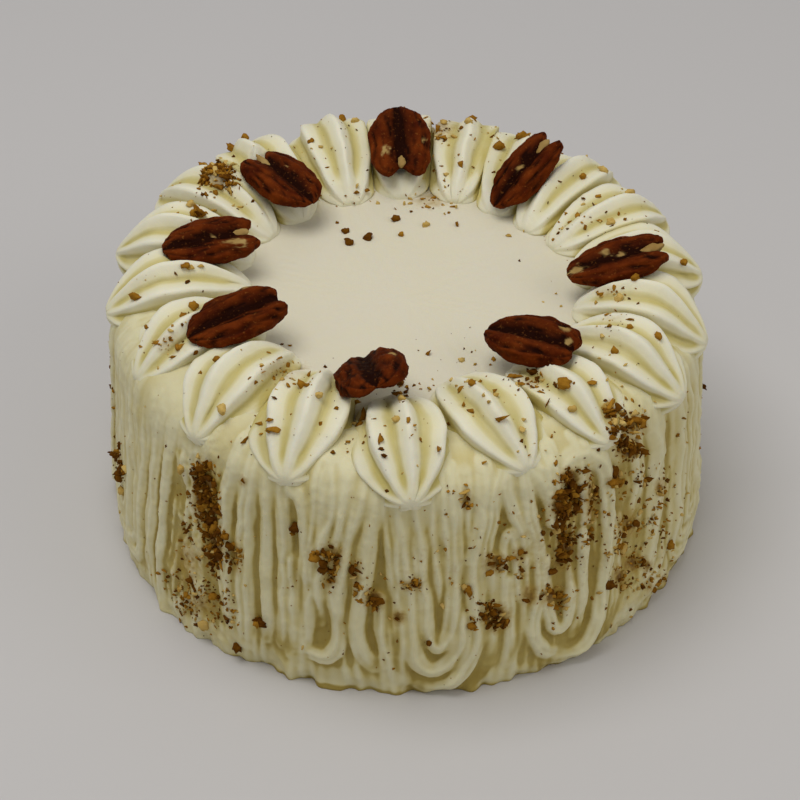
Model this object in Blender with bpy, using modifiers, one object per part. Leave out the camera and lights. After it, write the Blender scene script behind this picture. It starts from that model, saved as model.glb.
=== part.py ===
"""A whole round shmoo cake: a tall torte coated and piped in whipped cream, with pecans.

The origin is the middle of the flat underside, +Z is up, and the shown front faces -Y.
The cake is one solid whose wall carries the piped relief: a wide star nozzle went up and down
the wall, so its ropes of cream turn round in a U at the foot of each cell. Nineteen piped
shells lie around the rim, and eight pecan halves are pressed into them.
"""

import math
import random

import bmesh
import bpy
from mathutils import Matrix, Vector

# Cake, in metres
TOP_HEIGHT = 0.094
FOOT_RADIUS = 0.1132
WALL_TOP_RADIUS = 0.1072
WALL_TOP_HEIGHT = 0.0840
RIM_RADIUS = 0.0985
CLEARANCE = 0.0003

# Piped wall. A cell is one U of ropes: its left edge at the foot and at the brow (degrees),
# the height of the middle of its turn (mm), how round the turn is, and the ropes of each leg
FRONT_CELLS = (
    (-152, -152, 17, 0.45, 3),
    (-133, -132, 17, 0.45, 3),
    (-113, -113, 26, 0.90, 3),
    (-94.5, -99, 27, 1.00, 3),
    (-74.5, -70, 28, 0.80, 4),
)
BACK_CELLS_START = -51
BACK_CELLS = 11
BACK_TURN = (24, 0.75, 4)
EDGE_TURN_HEIGHT = 0.0135
ROPE_HEIGHT = 0.0034
VALLEY_HEIGHT = 0.0002
BROW_RELIEF = 0.35
FOOT_RECESS = 0.0012
ARC_STEPS = 6
LEG_STEPS = 2
BROW_STEPS = 2

# Strips where the ropes are missing and nuts show on the coat: angle, half width, share lost
BARE_STRIPS = (
    (-130.5, 5.5, 0.85),
    (-44.5, 6.5, 0.75),
    (-61.5, 3.0, 0.45),
    (75, 6.0, 0.70),
    (158, 5.0, 0.60),
)
LEAST_ROPE = 0.1

# Waves that make the coat and the ropes uneven: number round the cake, radians for each metre
# of height, phase and share
COAT_WAVES = ((3, 0, 0.7, 1.0), (5, 40, 0, 0.7), (9, 0, -2, 0.5))
COAT_SWELL = 0.0008
COAT_UNEVENNESS = COAT_SWELL / 2.2
ROPE_WANDER = 0.0014
ROPE_WAVES = ((7, 55, 0, 1.0), (11, -38, 1.3, 0.8))
STEADY_FOOT = 0.02

# Piped shells: tip angle, tip radius, droop at the tip, head angle, head radius (degrees and
# mm) and fullness
SHELLS = (
    (271, 113, 5, 264, 62, 1.00),
    (293, 107, 2, 286, 54, 1.00),
    (311, 109, 3, 310, 58, 0.98),
    (331, 113, 5, 334, 60, 1.00),
    (349, 113, 5, 354, 62, 1.02),
    (11, 115, 4, 13, 63, 0.96),
    (31, 118, 4, 30, 64, 0.94),
    (48, 121, 3, 44, 63, 0.94),
    (64, 122, 2, 58, 65, 0.98),
    (77, 124, 1, 73, 66, 1.00),
    (91, 125, 1, 91, 66, 1.08),
    (106, 125, 1, 109, 65, 1.12),
    (124, 124, 2, 128, 64, 1.16),
    (143, 121, 3, 142, 64, 1.10),
    (162, 117, 4, 157, 62, 1.06),
    (182, 112, 4, 174, 57, 1.02),
    (205, 107, 4, 197, 55, 1.00),
    (227, 108, 4, 219, 54, 1.00),
    (248, 110, 4, 240, 55, 1.00),
)
SHELL_HALF_WIDTH = 0.0208
SHELL_HEIGHT = 0.0172
SHELL_CRESTS = 9
SHELL_FLUTE_DEPTH = 0.16
SHELL_RINGS = 8
SHELL_BEND = 0.0016
WIDTH_SPREAD = 0.05
HEIGHT_SPREAD = 0.04
# Where along a shell it is fullest, and the powers that shape its head and its tip
WIDTH_FORM = (0.60, 0.50, 0.62)
HEIGHT_FORM = (0.55, 0.72, 0.70)
DROOP_START = 0.6
ENVELOPE_STEPS = 48

# Pecan halves: centre x, y and z above the top, heading of the cleft end, pitch, roll, length,
# width (mm and degrees), depth of the cleft as a share of half the length, and which side is up
PECANS = (
    (-2, 83, 16, -87, -15, 0, 39, 24.5, 0.36, "flat"),
    (47, 64, 16, 42, 31, 0, 39, 18.5, 0.42, "flat"),
    (79, 2, 16, 6, 15, 6, 40.5, 20, 0.40, "flat"),
    (45, -47, 15, -31, 7, 8, 38, 22, 0.14, "dome"),
    (-12, -66, 15, 278, 20, 16, 37, 26, 0.15, "dome"),
    (-60, -33, 15, 31, 5, 8, 40, 22, 0.16, "dome"),
    (-72, 16, 15, 20, 0, 8, 39, 22, 0.42, "flat"),
    (-48, 59, 15, 129, 4, 4, 39.5, 24, 0.40, "flat"),
)
PECAN_THICKNESS = 0.0100
DOME_SHARE = 0.60
GROOVE_DEPTH = 0.55
GROOVE_WIDTH = math.radians(20)
CLEFT_WIDTH = 0.30
CLEFT_END_TAPER = 0.10
TIP_TAPER = 0.26
LOBE_FLATNESS = 0.7
PECAN_SEGMENTS = 12
PECAN_RINGS = 9
PRESS_GAP = 0.00045

# Chopped pecans: clusters on the wall as angle, height, spread and count (degrees and mm)
WALL_CLUSTERS = (
    (-129, 62, 14, 7),
    (-62, 67, 12, 6),
    (-46, 76, 8, 4),
    (-102, 57, 9, 4),
    (-77, 48, 11, 4),
    (-44, 40, 14, 5),
    (-130, 26, 12, 4),
)
CLUSTER_WIDTH = 0.6
CLUSTER_HEIGHT = 0.8
SCATTERED_WALL_NUTS = 12
SCATTER_HEIGHTS = (0.008, 0.076)
SCATTER_JITTER = 0.6
WALL_NUT_MARGIN = 0.0063
TOP_NUTS = 6
TOP_NUT_RADII = (0.040, 0.054)
TOP_NUT_ANGLES = (math.radians(55), math.radians(125))
NUTS_PER_SHELL = 2
SHELL_NUT_SHARES = (0.35, 0.85)
SHELL_NUT_TURN = 0.6
SHELL_NUT_DEPTH = 0.1
NUT_SIZE = 0.0021
NUT_SIZES = (0.75, 1.3)
NUT_LENGTHS = (0.7, 1.2)
NUT_WIDTHS = (0.6, 1.0)
NUT_LUMPS = (0.85, 1.15)
NUT_STANDOFF = 0.0004
PECAN_MARGIN = 0.004
SEED = 7

# Edges sharper than this stay sharp in the shading, by the kind of piece
SHARP_ANGLES = {"cake": math.radians(20), "shell": math.radians(55), "pecan": math.radians(45)}


def mix(low, high, share):
    return low + (high - low) * share


def smooth(share):
    share = min(max(share, 0.0), 1.0)
    return share * share * (3 - 2 * share)


def bell(distance):
    return math.exp(-distance * distance)


def polar(radius, angle, height=0.0):
    return Vector((radius * math.cos(angle), radius * math.sin(angle), height))


def wave_sum(waves, angle, height):
    """Sum of waves that run round the cake and lean with height."""
    return sum(
        share * math.sin(count * angle + lean * height + phase)
        for count, lean, phase, share in waves
    )


def make_material(name, colour, roughness):
    material = bpy.data.materials.new(name)
    material.use_nodes = True
    shader = material.node_tree.nodes["Principled BSDF"]
    shader.inputs["Base Color"].default_value = (*colour, 1.0)
    shader.inputs["Roughness"].default_value = roughness
    shader.inputs["Metallic"].default_value = 0.0
    return material


def cream_material():
    return make_material("whipped_cream", (0.86, 0.83, 0.66), 0.45)


def pecan_material():
    return make_material("pecan_skin", (0.16, 0.055, 0.022), 0.4)


def add_object(name, bm, collection, material=None):
    """One named object from a bmesh, its faces pointing out."""
    bmesh.ops.recalc_face_normals(bm, faces=bm.faces)
    mesh = bpy.data.meshes.new(name)
    bm.to_mesh(mesh)
    bm.free()
    if material:
        mesh.materials.append(material)
    obj = bpy.data.objects.new(name, mesh)
    collection.objects.link(obj)
    return obj


def hide_guide(obj):
    """Marks a cutter, which is never seen."""
    obj.hide_render = True
    obj.display_type = "WIRE"


def apply_boolean(obj, operation, operand):
    """Applies one Boolean to obj, and then removes what it was cut or joined with."""
    modifier = obj.modifiers.new("boolean", "BOOLEAN")
    modifier.operation = operation
    if isinstance(operand, bpy.types.Collection):
        modifier.operand_type = "COLLECTION"
        modifier.collection = operand
        used = list(operand.objects)
    else:
        modifier.object = operand
        used = [operand]
    graph = bpy.context.evaluated_depsgraph_get()
    mesh = bpy.data.meshes.new_from_object(obj.evaluated_get(graph), depsgraph=graph)
    obj.modifiers.clear()
    obj.data = mesh
    for item in used:
        bpy.data.objects.remove(item)


def drop_scraps(obj):
    """Keeps the largest connected piece of a mesh."""
    bm = bmesh.new()
    bm.from_mesh(obj.data)
    left = set(bm.verts)
    pieces = []
    while left:
        front = [left.pop()]
        piece = set(front)
        while front:
            vertex = front.pop()
            for edge in vertex.link_edges:
                other = edge.other_vert(vertex)
                if other in left:
                    left.remove(other)
                    piece.add(other)
                    front.append(other)
        pieces.append(piece)
    pieces.sort(key=len)
    for piece in pieces[:-1]:
        bmesh.ops.delete(bm, geom=list(piece), context="VERTS")
    bm.to_mesh(obj.data)
    bm.free()


def wall_radius(height):
    """Radius of the plain wall, which leans in a little towards the top."""
    return mix(FOOT_RADIUS, WALL_TOP_RADIUS, height / WALL_TOP_HEIGHT)


def rope_share(angle):
    """How much of the rope relief stands at an angle: less in the bare strips."""
    share = 1.0
    for middle, half_width, lost in BARE_STRIPS:
        offset = (math.degrees(angle) - middle + 180) % 360 - 180
        share -= lost * bell(offset / half_width)
    return max(share, LEAST_ROPE)


def wall_point(angle, height, relief):
    """A point of the wall, whose relief stands out from a coat that bulges a little.

    The ropes drift sideways on their way up, and hold still along the foot.
    """
    bulge = COAT_UNEVENNESS * wave_sum(COAT_WAVES, angle, height)
    drift = ROPE_WANDER * smooth(height / STEADY_FOOT) * wave_sum(ROPE_WAVES, angle, height)
    radius = wall_radius(height) + relief * rope_share(angle) + bulge
    return polar(radius, angle + drift / FOOT_RADIUS, height)


def rope_relief(lane):
    """Height of the relief at a lane across a leg: odd lanes are crests and even ones valleys."""
    return ROPE_HEIGHT if lane % 2 else VALLEY_HEIGHT


class Cell:
    """One U of ropes between two edges, which may lean."""

    def __init__(self, left, right, turn_height, roundness, ropes):
        self.left = [math.radians(value) for value in left]
        self.right = [math.radians(value) for value in right]
        self.lanes = 2 * ropes
        self.turn_height = turn_height / 1000
        self.half_width = (self.right[0] - self.left[0]) / 2 * FOOT_RADIUS
        self.depth = roundness * self.half_width

    def angle(self, across, height):
        """Angle on the wall, where across runs from -1 at the left edge to 1 at the right."""
        share = height / WALL_TOP_HEIGHT
        left = mix(self.left[0], self.left[1], share)
        right = mix(self.right[0], self.right[1], share)
        return mix(left, right, (across + 1) / 2)

    def across(self, angle, height):
        """The reverse of angle."""
        left, right = self.angle(-1, height), self.angle(1, height)
        return 2 * (angle - left) / (right - left) - 1

    def turn_at(self, across):
        """Height at which the legs end and the turn begins."""
        return mix(self.turn_height, EDGE_TURN_HEIGHT, across * across)

    def relief(self, across, height):
        """Relief between the crests and valleys at any place of the cell."""
        below = max(0.0, self.turn_at(across) - height) / self.depth
        reach = math.hypot(across, below)
        if reach > 1:
            return VALLEY_HEIGHT
        rise = 1 - abs(reach * self.lanes % 2 - 1)
        return mix(VALLEY_HEIGHT, ROPE_HEIGHT, rise)


def make_cells():
    """The cells in order round the cake: those of the front, and then equal ones."""
    edges = [row[:2] for row in FRONT_CELLS]
    turns = [row[2:] for row in FRONT_CELLS]
    sweep = edges[0][0] + 360 - BACK_CELLS_START
    for item in range(BACK_CELLS):
        edge = BACK_CELLS_START + sweep * item / BACK_CELLS
        edges.append((edge, edge))
        turns.append(BACK_TURN)
    edges.append((edges[0][0] + 360, edges[0][1] + 360))
    return [
        Cell(edges[item], edges[item + 1], *turns[item])
        for item in range(len(turns))
    ]


def relief_at(cells, angle, height):
    """Relief of the piped wall at any angle and height."""
    start = cells[0].angle(-1, height)
    angle = start + (angle - start) % (2 * math.pi)
    for cell in cells:
        across = cell.across(angle, height)
        if across <= 1:
            break
    return cell.relief(across, height)


def place_grid(bm, columns, rows, place):
    """Adds a grid whose vertices are moved to place(column, row)."""
    made = bmesh.ops.create_grid(bm, x_segments=columns, y_segments=rows, size=1.0)
    for vertex in made["verts"]:
        column = round((vertex.co.x + 1) / 2 * columns)
        row = round((vertex.co.y + 1) / 2 * rows)
        vertex.co = place(column, row)


def brow_point(angle, relief, share):
    """A point of the rounded edge between the wall and the top, where the ropes fade out."""
    turn = share * math.pi / 2
    radius = mix(WALL_TOP_RADIUS, RIM_RADIUS, 1 - math.cos(turn))
    height = mix(WALL_TOP_HEIGHT, TOP_HEIGHT, math.sin(turn))
    return polar(radius + relief * BROW_RELIEF * (1 - share), angle, height)


def build_cell(bm, cell):
    """One U of ropes, the foot below it and the brow above it that rounds over to the rim."""
    lanes = cell.lanes
    steps = 2 * LEG_STEPS + ARC_STEPS

    def along_u(lane, step):
        """Down one leg, round the turn and up the other."""
        reach = lane / lanes
        if LEG_STEPS <= step <= LEG_STEPS + ARC_STEPS:
            turn = math.pi * (step - LEG_STEPS) / ARC_STEPS
            across = -reach * math.cos(turn)
            height = cell.turn_at(across) - reach * cell.depth * math.sin(turn)
        else:
            side = -1 if step < LEG_STEPS else 1
            legs = LEG_STEPS - step if side < 0 else step - LEG_STEPS - ARC_STEPS
            across = side * reach
            height = mix(cell.turn_at(across), WALL_TOP_HEIGHT, legs / LEG_STEPS)
        return wall_point(cell.angle(across, height), height, rope_relief(lane))

    def foot(column, row):
        """From the outermost turn down to the underside, which lies a little further in."""
        turn = math.pi * column / ARC_STEPS
        across = -math.cos(turn)
        height = (cell.turn_at(across) - cell.depth * math.sin(turn)) * (1 - row)
        return wall_point(cell.angle(across, height), height, mix(VALLEY_HEIGHT, -FOOT_RECESS, row))

    def brow(column, row):
        """Over the rounded edge; its first row is the top of the legs."""
        lane = abs(column - lanes)
        across = (column - lanes) / lanes
        angle = cell.angle(across, WALL_TOP_HEIGHT)
        if row == 0:
            return wall_point(angle, WALL_TOP_HEIGHT, rope_relief(lane))
        return brow_point(angle, rope_relief(lane), row / BROW_STEPS)

    place_grid(bm, lanes, steps, along_u)
    place_grid(bm, ARC_STEPS, 1, foot)
    place_grid(bm, 2 * lanes, BROW_STEPS, brow)


def build_cake(cells, collection, material):
    bm = bmesh.new()
    for cell in cells:
        build_cell(bm, cell)
    bmesh.ops.remove_doubles(bm, verts=bm.verts, dist=0.00002)
    bmesh.ops.dissolve_degenerate(bm, edges=bm.edges, dist=0.00001)
    bmesh.ops.holes_fill(bm, edges=[edge for edge in bm.edges if edge.is_boundary], sides=0)
    bmesh.ops.triangulate(bm, faces=bm.faces)
    return add_object("cake", bm, collection, material)


def coat_envelope(collection):
    """The cake's outer form with the clearance added, which the shells are fitted to."""
    widen = 1 / math.cos(math.pi / ENVELOPE_STEPS)
    relief = ROPE_HEIGHT + COAT_SWELL + CLEARANCE
    profile = [Vector((0, 0, TOP_HEIGHT + CLEARANCE))]
    for step in range(BROW_STEPS, -1, -1):
        share = step / BROW_STEPS
        edge = brow_point(0, 0, share)
        edge.x = (edge.x + relief * (1 - share) + CLEARANCE) * widen
        edge.z += CLEARANCE
        profile.append(edge)
    below = WALL_TOP_HEIGHT - 2 * SHELL_HEIGHT
    profile.append(Vector(((wall_radius(below) + relief) * widen, 0, below)))
    profile.append(Vector((0, 0, below)))
    mesh = bpy.data.meshes.new("coat_envelope")
    mesh.from_pydata(profile, [(item, item + 1) for item in range(len(profile) - 1)], [])
    obj = bpy.data.objects.new("coat_envelope", mesh)
    collection.objects.link(obj)
    screw = obj.modifiers.new("turn", "SCREW")
    screw.steps = screw.render_steps = ENVELOPE_STEPS
    screw.use_merge_vertices = True
    screw.merge_threshold = 0.0001
    hide_guide(obj)
    return obj


def spindle(share, fullest, head_power, tip_power):
    """Rise from the head to 1 where it is fullest, and fall to the tip."""
    if share <= 0 or share >= 1:
        return 0.0
    if share < fullest:
        return math.sin(math.pi / 2 * share / fullest) ** head_power
    return math.cos(math.pi / 2 * (share - fullest) / (1 - fullest)) ** tip_power


class Shell:
    """A piped shell: a fluted spindle that lies on the rim, its head inside and its tip outside."""

    def __init__(self, row, rng):
        tip_angle, tip_radius, droop, head_angle, head_radius, fullness = row
        self.tip = polar(tip_radius / 1000, math.radians(tip_angle))
        self.head = polar(head_radius / 1000, math.radians(head_angle))
        self.droop = droop / 1000
        self.half_width = SHELL_HALF_WIDTH * (1 + rng.uniform(-WIDTH_SPREAD, WIDTH_SPREAD))
        self.height = SHELL_HEIGHT * fullness * (1 + rng.uniform(-HEIGHT_SPREAD, HEIGHT_SPREAD))
        self.turn = rng.uniform(-0.5, 0.5) * math.pi / SHELL_CRESTS
        self.bend = rng.uniform(-1, 1) * SHELL_BEND
        self.middle = self.head.lerp(self.tip, 0.5)
        self.length = (self.tip - self.head).length
        self.along = (self.tip - self.head) / self.length
        self.side = Vector((self.along.y, -self.along.x, 0))

    def point(self, share, angle, depth=SHELL_FLUTE_DEPTH):
        """A surface point: share runs from head to tip, and angle turns round from straight up."""
        centre = self.head.lerp(self.tip, share) + self.side * (self.bend * math.sin(math.pi * share))
        centre.z = TOP_HEIGHT - self.droop * smooth((share - DROOP_START) / (1 - DROOP_START))
        around = (angle + self.turn) / (2 * math.pi) * SHELL_CRESTS % 1.0
        flute = 1 - depth * (1 - (2 * around - 1) ** 2)
        sideways = self.half_width * spindle(share, *WIDTH_FORM) * flute * math.sin(angle)
        rise = self.height * spindle(share, *HEIGHT_FORM) * flute * math.cos(angle)
        return centre + self.side * sideways + Vector((0, 0, rise))


def cut_beside(bm, shell, other):
    """Cuts a shell along the plane half way to its neighbour."""
    direction = (shell.along + other.along).normalized()
    normal = Vector((direction.y, -direction.x, 0))
    if (other.middle - shell.middle).dot(normal) < 0:
        normal = -normal
    cut = bmesh.ops.bisect_plane(
        bm,
        geom=bm.verts[:] + bm.edges[:] + bm.faces[:],
        plane_co=(shell.middle + other.middle - normal * CLEARANCE) / 2,
        plane_no=normal,
        clear_outer=True,
    )
    edges = [item for item in cut["geom_cut"] if isinstance(item, bmesh.types.BMEdge)]
    bmesh.ops.holes_fill(bm, edges=edges, sides=0)


def build_shell(name, shell, neighbours, collection, material):
    bm = bmesh.new()
    segments = 2 * SHELL_CRESTS
    bmesh.ops.create_uvsphere(bm, u_segments=segments, v_segments=SHELL_RINGS, radius=1.0)
    for vertex in bm.verts:
        share = math.acos(max(-1, min(1, vertex.co.z))) / math.pi
        angle = math.atan2(vertex.co.y, vertex.co.x)
        step = round(angle / math.pi * SHELL_CRESTS)
        vertex.co = shell.point(share, step * math.pi / SHELL_CRESTS - shell.turn)
    for other in neighbours:
        cut_beside(bm, shell, other)
    return add_object(name, bm, collection, material)


def pecan_frame(row):
    """Where a pecan half lies: its own +X runs to the cleft end, and +Z is the side that is up."""
    x, y, rise, heading, pitch, roll = row[:6]
    place = Matrix.Translation((x / 1000, y / 1000, TOP_HEIGHT + rise / 1000))
    turn = Matrix.Rotation(math.radians(heading), 4, "Z")
    tilt = Matrix.Rotation(math.radians(-pitch), 4, "Y")
    lean = Matrix.Rotation(math.radians(roll), 4, "X")
    return place @ turn @ tilt @ lean


def pecan_surface(direction, row, grow=0.0):
    """Two plump lobes with a groove between them, from a direction out of the middle.

    The grown form, which presses a bed into the shells, has no cleft or groove to fill.
    """
    x, y, z = direction
    half_length, half_width = row[6] / 2000, row[7] / 2000
    cleft, groove_depth = (0, 0) if grow else (row[8], GROOVE_DEPTH)
    length_share = 1 - cleft * max(x, 0) * bell(y / CLEFT_WIDTH)
    taper = 1 - (CLEFT_END_TAPER if x > 0 else TIP_TAPER) * x * x
    domed = (z > 0) == (row[9] == "dome")
    height = PECAN_THICKNESS * (DOME_SHARE if domed else 1 - DOME_SHARE)
    from_axis = math.hypot(y, z)
    if from_axis > 0:
        lobe = (abs(z) / from_axis) ** LOBE_FLATNESS
        groove = bell(math.atan2(abs(y), abs(z)) / GROOVE_WIDTH)
        height *= lobe * (1 - groove_depth * groove) * from_axis
    return Vector((
        x * (half_length + grow) * length_share,
        y * (half_width * taper + grow),
        math.copysign(height, z) + z * grow,
    ))


def build_pecan(name, row, collection, material=None, grow=0.0):
    bm = bmesh.new()
    bmesh.ops.create_uvsphere(
        bm,
        u_segments=PECAN_SEGMENTS,
        v_segments=PECAN_RINGS,
        radius=1.0,
        matrix=Matrix.Rotation(math.radians(90), 4, "Y"),
    )
    for vertex in bm.verts:
        vertex.co = pecan_surface(vertex.co, row, grow)
    obj = add_object(name, bm, collection, material)
    obj.matrix_world = pecan_frame(row)
    return obj


def press_pecans(obj, shell, cutters):
    """Presses the bed of each nearby pecan half into a shell."""
    for number, row in enumerate(PECANS):
        offset = Vector((row[0] / 1000, row[1] / 1000, 0)) - shell.middle
        if offset.length < shell.length:
            press = build_pecan(f"press_{obj.name}_{number}", row, cutters, grow=PRESS_GAP)
            hide_guide(press)
            apply_boolean(obj, "DIFFERENCE", press)


def build_nut(name, centre, rng, collection):
    """A chopped piece of pecan: a lumpy faceted grain."""
    bm = bmesh.new()
    bmesh.ops.create_icosphere(bm, subdivisions=1, radius=NUT_SIZE * rng.uniform(*NUT_SIZES))
    length, width, depth = (rng.uniform(*limits) for limits in (NUT_LENGTHS, NUT_WIDTHS, NUT_WIDTHS))
    axis = Vector((rng.random(), rng.random(), rng.random())) + Vector((0, 0, 0.1))
    turn = Matrix.Rotation(rng.uniform(0, math.pi), 3, axis)
    form = turn @ Matrix.Diagonal((length, width, depth))
    for vertex in bm.verts:
        vertex.co = centre + form @ vertex.co * rng.uniform(*NUT_LUMPS)
    return add_object(name, bm, collection)


def cake_nut_places(cells, rng):
    """Points on the wall, in clusters and then in an even scatter, and a few on the top."""
    places = []
    for angle, height, spread, count in WALL_CLUSTERS:
        for _ in range(count):
            along = rng.gauss(0, CLUSTER_WIDTH) * spread / 1000
            rise = rng.gauss(0, CLUSTER_HEIGHT) * spread / 1000
            places.append((math.radians(angle) + along / FOOT_RADIUS, height / 1000 + rise))
    for item in range(SCATTERED_WALL_NUTS):
        turn = (item + SCATTER_JITTER * rng.random()) / SCATTERED_WALL_NUTS
        places.append((2 * math.pi * turn, rng.uniform(*SCATTER_HEIGHTS)))
    points = []
    for angle, height in places:
        height = min(max(height, WALL_NUT_MARGIN), WALL_TOP_HEIGHT - WALL_NUT_MARGIN)
        points.append(wall_point(angle, height, relief_at(cells, angle, height) + NUT_STANDOFF))
    for _ in range(TOP_NUTS):
        points.append(polar(rng.uniform(*TOP_NUT_RADII), rng.uniform(*TOP_NUT_ANGLES), TOP_HEIGHT))
    return points


def clear_of_pecans(point):
    """True where a chopped nut at a point would not touch a pecan half."""
    for row in PECANS:
        local = pecan_frame(row).inverted() @ point
        reach = Vector((
            local.x / (row[6] / 2000 + PECAN_MARGIN),
            local.y / (row[7] / 2000 + PECAN_MARGIN),
            local.z / (PECAN_THICKNESS * DOME_SHARE + PECAN_MARGIN),
        ))
        if reach.length < 1:
            return False
    return True


def shell_nut_places(shell, rng):
    """Points on the crests of a shell where a chopped nut lies clear of the pecans."""
    places = []
    while len(places) < NUTS_PER_SHELL:
        share = rng.uniform(*SHELL_NUT_SHARES)
        point = shell.point(share, rng.uniform(-SHELL_NUT_TURN, SHELL_NUT_TURN), SHELL_NUT_DEPTH)
        if clear_of_pecans(point):
            places.append(point)
    return places


def fuse_nuts(obj, centres, rng):
    """Joins chopped nuts to the solid that they lie on, with one union."""
    group = bpy.data.collections.new("nuts_of_" + obj.name)
    bpy.context.scene.collection.children.link(group)
    for index, centre in enumerate(centres):
        build_nut(f"nut_{obj.name}_{index:02d}", centre, rng, group)
    apply_boolean(obj, "UNION", group)
    bpy.data.collections.remove(group)
    drop_scraps(obj)


def build_shells(collection, cutters, material, rng):
    """The ring of shells, each cut clear of its neighbours, the cake and the pecans."""
    shells = [Shell(row, rng) for row in SHELLS]
    for index, shell in enumerate(shells):
        name = f"shell_{index + 1:02d}"
        neighbours = [shells[index - 1], shells[(index + 1) % len(shells)]]
        obj = build_shell(name, shell, neighbours, collection, material)
        apply_boolean(obj, "DIFFERENCE", coat_envelope(cutters))
        press_pecans(obj, shell, cutters)
        fuse_nuts(obj, shell_nut_places(shell, rng), rng)


def main():
    for obj in list(bpy.data.objects):
        bpy.data.objects.remove(obj)
    scene = bpy.context.scene
    parts = bpy.data.collections.new("shmoo_cake")
    cutters = bpy.data.collections.new("cutters")
    scene.collection.children.link(parts)
    scene.collection.children.link(cutters)
    cream = cream_material()
    pecan = pecan_material()
    rng = random.Random(SEED)

    cells = make_cells()
    cake = build_cake(cells, parts, cream)
    build_shells(parts, cutters, cream, rng)
    for number, row in enumerate(PECANS):
        build_pecan(f"pecan_{number + 1}", row, parts, pecan)
    fuse_nuts(cake, cake_nut_places(cells, rng), rng)
    for obj in parts.objects:
        obj.data.shade_smooth()
        obj.data.set_sharp_from_angle(angle=SHARP_ANGLES[obj.name.split("_")[0]])


main()
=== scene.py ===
import math
import random

import bmesh
import bpy
import numpy as np
from mathutils import Matrix, Vector, noise
from mathutils.bvhtree import BVHTree


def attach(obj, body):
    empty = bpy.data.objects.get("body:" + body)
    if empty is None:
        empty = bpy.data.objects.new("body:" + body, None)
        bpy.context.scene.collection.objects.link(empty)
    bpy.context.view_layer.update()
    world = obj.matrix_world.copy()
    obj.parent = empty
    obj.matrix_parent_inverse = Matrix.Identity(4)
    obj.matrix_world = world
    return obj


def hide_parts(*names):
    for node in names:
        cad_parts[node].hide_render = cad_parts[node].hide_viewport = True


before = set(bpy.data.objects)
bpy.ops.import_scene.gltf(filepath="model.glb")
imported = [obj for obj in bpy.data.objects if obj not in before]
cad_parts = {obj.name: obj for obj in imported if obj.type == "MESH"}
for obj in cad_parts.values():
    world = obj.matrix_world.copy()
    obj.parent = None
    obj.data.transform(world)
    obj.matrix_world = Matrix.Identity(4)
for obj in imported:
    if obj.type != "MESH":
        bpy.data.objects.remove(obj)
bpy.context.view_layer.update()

# The shmoo cake, in metres, with the front towards -Y. The piping follows the solids, and the
# pixels below are places in the 800 pixel photo, sent through the camera onto the cake.


def lerp(low, high, share):
    return low + (high - low) * share


def smooth(share):
    share = min(max(share, 0.0), 1.0)
    return share * share * (3 - 2 * share)


def bell(distance):
    return math.exp(-distance * distance)


def polar(radius, angle, height=0.0):
    return Vector((radius * math.cos(angle), radius * math.sin(angle), height))


def turnFrom(middle, degrees):  # the short way round from one to the other
    return (degrees - middle + 180) % 360 - 180


def waveSum(waves, angle, height):
    return sum(
        share * math.sin(count * angle + lean * height + phase)
        for count, lean, phase, share in waves
    )


def rough(point, scale, octaves=3):  # soft noise from about -1 to 1
    return noise.fractal(Vector(point) * scale, 1.0, 2.0, octaves)


def sway(form, values, octaves=2):  # noise of a few values: how much, and the waves of each
    amount, waves = form
    return amount * rough([value * wave for value, wave in zip(values, waves)], 1, octaves)


def addObject(name, data):
    added = bpy.data.objects.new(name, data)
    bpy.context.scene.collection.objects.link(added)
    return added


# The camera that took the photo

photo = {
    "size": 800,
    "lens": 108,
    "sensor": 36,
    "place": (-0.00204, -0.7272, 0.6142),
    "tilt": math.radians(51.995),
    "wallMiddle": (400, 450),  # a pixel in the middle of the wall
}
pixelReach = photo["sensor"] / photo["lens"] / photo["size"]
photoHalf = photo["size"] / 2


def makeCamera():
    data = bpy.data.cameras.new("camera")
    data.lens = photo["lens"]
    data.sensor_width = photo["sensor"]
    data.clip_start = 0.01
    camera = addObject("camera", data)
    camera.location = photo["place"]
    camera.rotation_euler = (photo["tilt"], 0, 0)
    bpy.context.scene.camera = camera


def photoRay(x, y):  # where the camera is, and the way that a pixel looks
    way = Vector(((x - photoHalf) * pixelReach, (photoHalf - y) * pixelReach, -1))
    return Vector(photo["place"]), (Matrix.Rotation(photo["tilt"], 3, "X") @ way).normalized()


# Helpers for meshes and materials


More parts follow.
